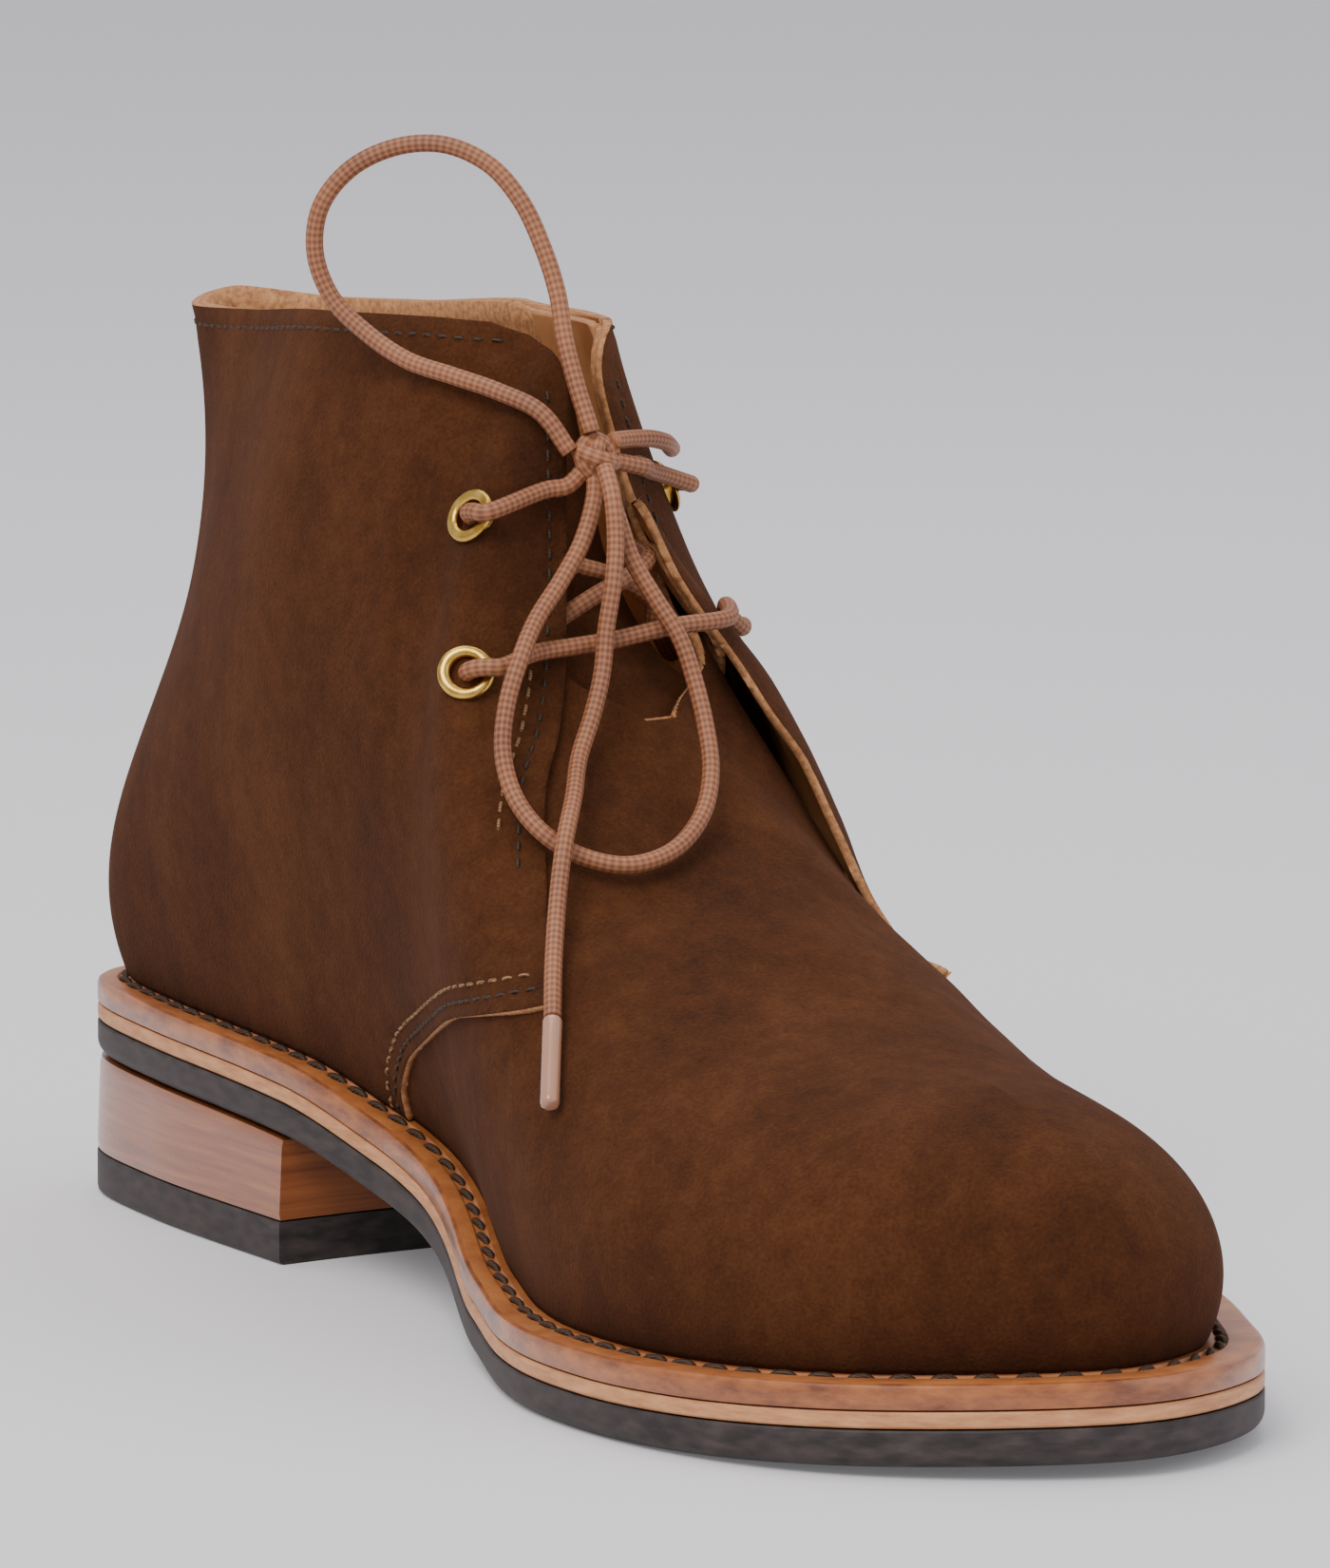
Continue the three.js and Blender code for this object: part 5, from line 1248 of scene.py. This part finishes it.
RUBBER = rubber_material()
PALE_EDGE = leather_material("pale_edge", [(0.35, "#b0744a"), (0.65, "#cf9565")], 160, 0.5,
                             stretch=(1, 1, 6))
WELT_TOP = leather_material("welt_top", [(0.35, "#8e4f26"), (0.65, "#b06c38")], 120, 0.45, coat=0.2)
WELT_SIDE = leather_material("welt_side", [(0.35, "#6e3718"), (0.62, "#a8622f")], 110, 0.35, coat=0.5,
                             stretch=(1, 1, 3))
STACKED = leather_material("stacked_leather", [(0.3, "#74391a"), (0.5, "#8c4c22"), (0.7, "#a05c2e")], 34,
                           0.3, coat=0.6, stretch=(1, 1, 24))
print("sole leathers ready")

# %% [markdown]
# The sole is laid from the ground up. Each band is given as a short list of
# margins and heights, with its edges a little rounded, and the welt's top has
# a shallow groove in which its stitches lie.

# %% Lay the sole
CORNER, INSOLE = 2.6, 3.6
MIDDLE_LINE = 0.12 * LENGTH, 0.86 * LENGTH  # ends of the line on which the flat faces close
AROUND = np.arange(720) / 720 * STATIONS
EDGE = edge_point(AROUND)


def middle_line(margin):
    """Point on the sole's middle line for every station: both sides' mean along, held within the
    line's ends, and halfway between the edges there."""
    here = inset_point(AROUND, margin)[0][:, 0]
    other = inset_point((STATIONS - AROUND) % STATIONS, margin)[0][:, 0]
    along = np.clip((here + other) / 2, *MIDDLE_LINE)
    medial, lateral = EDGE[:361], EDGE[360:][::-1]
    a = np.interp(along, medial[:, 0], medial[:, 1])
    b = np.interp(along, lateral[:, 0], lateral[:, 1])
    return np.stack([(a + b) / 2, along], axis=1)


def margins(margin):
    """A margin for every station, from one number or from a function of the station."""
    return margin(AROUND) if callable(margin) else np.full(len(AROUND), float(margin))


def band_ring(margin, height):
    """Points round the sole at a margin inside its edge and a height above its underside."""
    point = inset_point(AROUND, margins(margin))[0]
    return np.stack([point[:, 1], ORIGIN_ALONG - point[:, 0], underside(point[:, 0]) + height], axis=1)


def band(name, section, material, node, slot, closed=False, extra=None, top_from=None):
    """A layer from its section, a list of margins and heights. It closes on the middle line, or on
    itself when it is a ring."""
    rings = [band_ring(*row) for row in section]
    if not closed:
        for at, (margin, height) in ((0, section[0]), (len(rings) + 1, section[-1])):
            line = middle_line(margins(margin))
            rings.insert(at, np.stack([line[:, 0], ORIGIN_ALONG - line[:, 1],
                                       underside(line[:, 1]) + height], axis=1))
    count, high = len(AROUND), len(rings)
    rows = np.arange(high if closed else high - 1)
    j, i = (a.ravel() for a in np.meshgrid(rows, np.arange(count), indexing="ij"))
    low, up = j * count, ((j + 1) % high) * count
    following = (i + 1) % count
    faces = np.stack([low + i, low + following, up + following, up + i], axis=1)
    piece = make_piece(name, np.concatenate(rings), faces, material, (node,), slot)
    if extra is not None:
        piece.data.materials.append(extra)
        piece.data.polygons.foreach_set("material_index", (j >= top_from).astype(np.int32))
    weld(piece.data)
    piece.data.set_sharp_from_angle(angle=0.6)
    print(name, len(piece.data.polygons), "faces")
    return piece


def groove(off):
    """Margin of a line on the welt, at a distance outside the upper."""
    return lambda q: welt_margin(q) - off


def inside(q):
    """Margin of the welt's inner edge, under the upper's wall."""
    return welt_margin(q) + VAMP_WALL + 1.5


def insole_edge(q):
    """Margin of the insole, a gap inside the welt."""
    return inside(q) + GAP


turn = np.linspace(0, math.pi / 2, 8)
corner = [(CORNER * (1 - math.sin(a)), CORNER * (1 - math.cos(a))) for a in turn]
band("outsole", [*corner, (0, OUTSOLE - 0.3), (0.25, OUTSOLE)], RUBBER, "outsole", "rubber")
low = OUTSOLE + GAP
band("midsole", [(0.3, low), (0.05, low + 0.3), (0, low + MIDSOLE / 2), (0.05, low + MIDSOLE - 0.3),
                 (0.3, low + MIDSOLE)], PALE_EDGE, "midsole", "pale_leather")
low = OUTSOLE + MIDSOLE + 2 * GAP
top = low + WELT
band("welt", [(0.2, low), (0, low + 0.3), (0, top - 0.9), (0.25, top - 0.3), (0.8, top),
              (groove(3.3), top), (groove(2.9), top - 0.35), (groove(1.5), top - 0.4), (groove(1.1), top),
              (inside, top), (inside, low)], WELT_SIDE, "welt", "welt_leather", True, WELT_TOP, 4)
band("insole", [(insole_edge, low), (insole_edge, low + INSOLE)], LINING, "insole", "lining_leather")

# %% [markdown]
# The welt's seam shows on the real boot as a row of thick waxed stitches, each
# one slanting a little. It runs in the groove, all the way round.

# %% Sew the welt
WELT_ROW = 2.2  # distance of the row outside the upper
q = np.linspace(0, STATIONS, 1400)
row, _ = inset_point(q, welt_margin(q) - WELT_ROW)
welt_path = np.stack([row[:, 1], ORIGIN_ALONG - row[:, 0], seat(row[:, 0]) - 0.1], axis=1)
up = np.tile([0.0, 0.0, 1.0], (len(welt_path), 1))
count = sew("welt_stitches", welt_path, up, WELT_THREAD, length=4.3, pitch=6.3, radius=0.62, lift=0.05,
            slant=0.3)
print("welt stitches", count)

# %% [markdown]
# The heel is stacked leather on a rubber top lift. Its outline follows the
# sole round the back and is closed by a nearly straight breast. The layers
# lie flush and show as fine lines alone, so the material draws them.

# %% Build the heel
ROUND_HEEL, ACROSS_BREAST = 181, 41  # points of the outline
HEEL_LINE = 0.35 * HEEL_LENGTH, 0.9 * HEEL_LENGTH  # ends of the line on which the heel closes


def heel_outline(margin):
    """Edge of the heel from breast to breast, then across the breast, which bows back a little."""
    q = np.linspace(0.5, TOE / 2, 4000)
    medial = q[inset_point(q, np.full(len(q), margin))[0][:, 0] < HEEL_LENGTH][-1]
    lateral = q[inset_point(STATIONS - q, np.full(len(q), margin))[0][:, 0] < HEEL_LENGTH][-1]
    t = np.linspace(-1, 1, ROUND_HEEL)
    at = np.where(t < 0, STATIONS + t * lateral, t * medial) % STATIONS
    back = inset_point(at, np.full(ROUND_HEEL, margin))[0]
    t = np.linspace(0, 1, ACROSS_BREAST)[1:-1]
    breast = np.stack([HEEL_LENGTH - 4 * BREAST_CURVE * t * (1 - t),
                       back[-1, 1] + t * (back[0, 1] - back[-1, 1])], axis=1)
    return np.concatenate([back, breast])


def heel_piece(name, rings, material, slot):
    """Piece of the heel from rings of margin and height(along), closed on its middle line."""
    loops = []
    for margin, height in rings:
        edge = heel_outline(margin)
        loops.append(np.stack([edge[:, 1], ORIGIN_ALONG - edge[:, 0], height(edge[:, 0])], axis=1))
    for at, (margin, height) in ((0, rings[0]), (len(loops) + 1, rings[-1])):
        edge = heel_outline(margin)
        along = np.full(len(edge), HEEL_LINE[1])
        round_heel = edge[:ROUND_HEEL, 0]
        along[:ROUND_HEEL] = np.clip((round_heel + round_heel[::-1]) / 2, *HEEL_LINE)
        loops.insert(at, np.stack([along * 0, ORIGIN_ALONG - along, height(along)], axis=1))
    count = len(loops[0])
    j, i = (a.ravel() for a in np.meshgrid(np.arange(len(loops) - 1), np.arange(count), indexing="ij"))
    following = (i + 1) % count
    faces = np.stack([j * count + i, j * count + following, (j + 1) * count + following,
                      (j + 1) * count + i], axis=1)
    piece = make_piece(name, np.concatenate(loops), faces, material, (name,), slot)
    weld(piece.data)
    piece.data.set_sharp_from_angle(angle=0.6)
    return piece


def level(height):
    """A height that is the same everywhere."""
    return lambda along: np.full(np.shape(along), float(height))


def stack_height(share):
    """Height at a share of the way up the stack, under the sloping sole."""
    base = TOP_LIFT + GAP
    return lambda along: base + share * (underside(along) - GAP - base)


ground = HEEL_INSET - HEEL_SPREAD
heel_piece("heel_lift", [
    (ground + 1.0, level(0)), (ground + 0.45, level(0.15)), (ground + 0.12, level(0.5)), (ground, level(1)),
    (ground, level(TOP_LIFT - 0.3)), (ground + 0.2, level(TOP_LIFT)),
], RUBBER, "rubber")
shares = np.linspace(0, 1, 13)
eased = np.where((shares == 0) | (shares == 1), 0.25, 0.0)
layers = [(ground + HEEL_SPREAD * t + ease, stack_height(t)) for t, ease in zip(shares, eased)]
heel_piece("heel_stack", layers, STACKED, "stack_leather")
print("heel ready")

# %% [markdown]
# The studio is a pale seamless backdrop under large soft lights. Floor and
# wall are one swept profile, so that no line shows between them.

# %% Floor, backdrop and lights
BOOT_MIDDLE = (0, -100, 70)


def backdrop():
    """Floor that turns up into a wall behind the boot: a profile of a flat, a quarter circle and an
    upright, swept sideways and turned to face the camera."""
    near, far, bend, wall_top, half_wide = -4000, 2600, 900, 4000, 4500
    turn = np.linspace(0, math.pi / 2, 24)
    depth = np.concatenate([[near], far + bend * np.sin(turn), [far + bend]])
    height = np.concatenate([[0], bend * (1 - np.cos(turn)), [wall_top]])
    reach = np.linspace(-half_wide, half_wide, 2)
    points = np.array([(x, y, z) for y, z in zip(depth, height) for x in reach])
    turned = math.cos(view_yaw), math.sin(view_yaw)
    points = np.stack([points[:, 0] * turned[0] + points[:, 1] * turned[1],
                       -points[:, 0] * turned[1] + points[:, 1] * turned[0], points[:, 2]], axis=1)
    start = np.arange(len(depth) - 1) * 2
    faces = np.stack([start, start + 1, start + 3, start + 2], axis=1)
    mesh = bpy.data.meshes.new("backdrop")
    mesh.from_pydata(points * MM, [], faces.tolist())
    mesh.polygons.foreach_set("use_smooth", np.full(len(mesh.polygons), True))
    paper, _, shader = new_material("backdrop_paper", Roughness=0.7, Specular_IOR_Level=0.2)
    for socket in ("Base Color", "Emission Color"):
        shader.inputs[socket].default_value = colour("#d9d7da")
    shader.inputs["Emission Strength"].default_value = 0.16
    mesh.materials.append(paper)
    made = bpy.data.objects.new("backdrop", mesh)
    bpy.context.scene.collection.objects.link(made)
    return made


def soft_light(name, place, size, power, tint="#ffffff"):
    """A square soft box at a place in millimetres that faces the boot's middle."""
    data = bpy.data.lights.new(name, "AREA")
    data.shape, data.size, data.energy = "SQUARE", size, power
    data.color = colour(tint)[:3]
    light = bpy.data.objects.new(name, data)
    light.location = np.array(place) * MM
    aim = np.array(BOOT_MIDDLE) * MM - np.array(place) * MM
    light.rotation_euler = (math.atan2(math.hypot(aim[0], aim[1]), -aim[2]), 0,
                            math.atan2(aim[1], aim[0]) - math.pi / 2)
    bpy.context.scene.collection.objects.link(light)
    return light


backdrop()
soft_light("key", (-900, -700, 1300), 0.9, 20, "#fffaf4")
soft_light("fill", (900, -1500, 700), 1.4, 6, "#f4f7ff")
soft_light("over", (100, 300, 1500), 1.2, 10)
world = bpy.data.worlds.new("studio")
world.use_nodes = True
world.node_tree.nodes["Background"].inputs[0].default_value = colour("#dcdde2")
world.node_tree.nodes["Background"].inputs[1].default_value = 1.0
bpy.context.scene.world = world
print("lights ready")
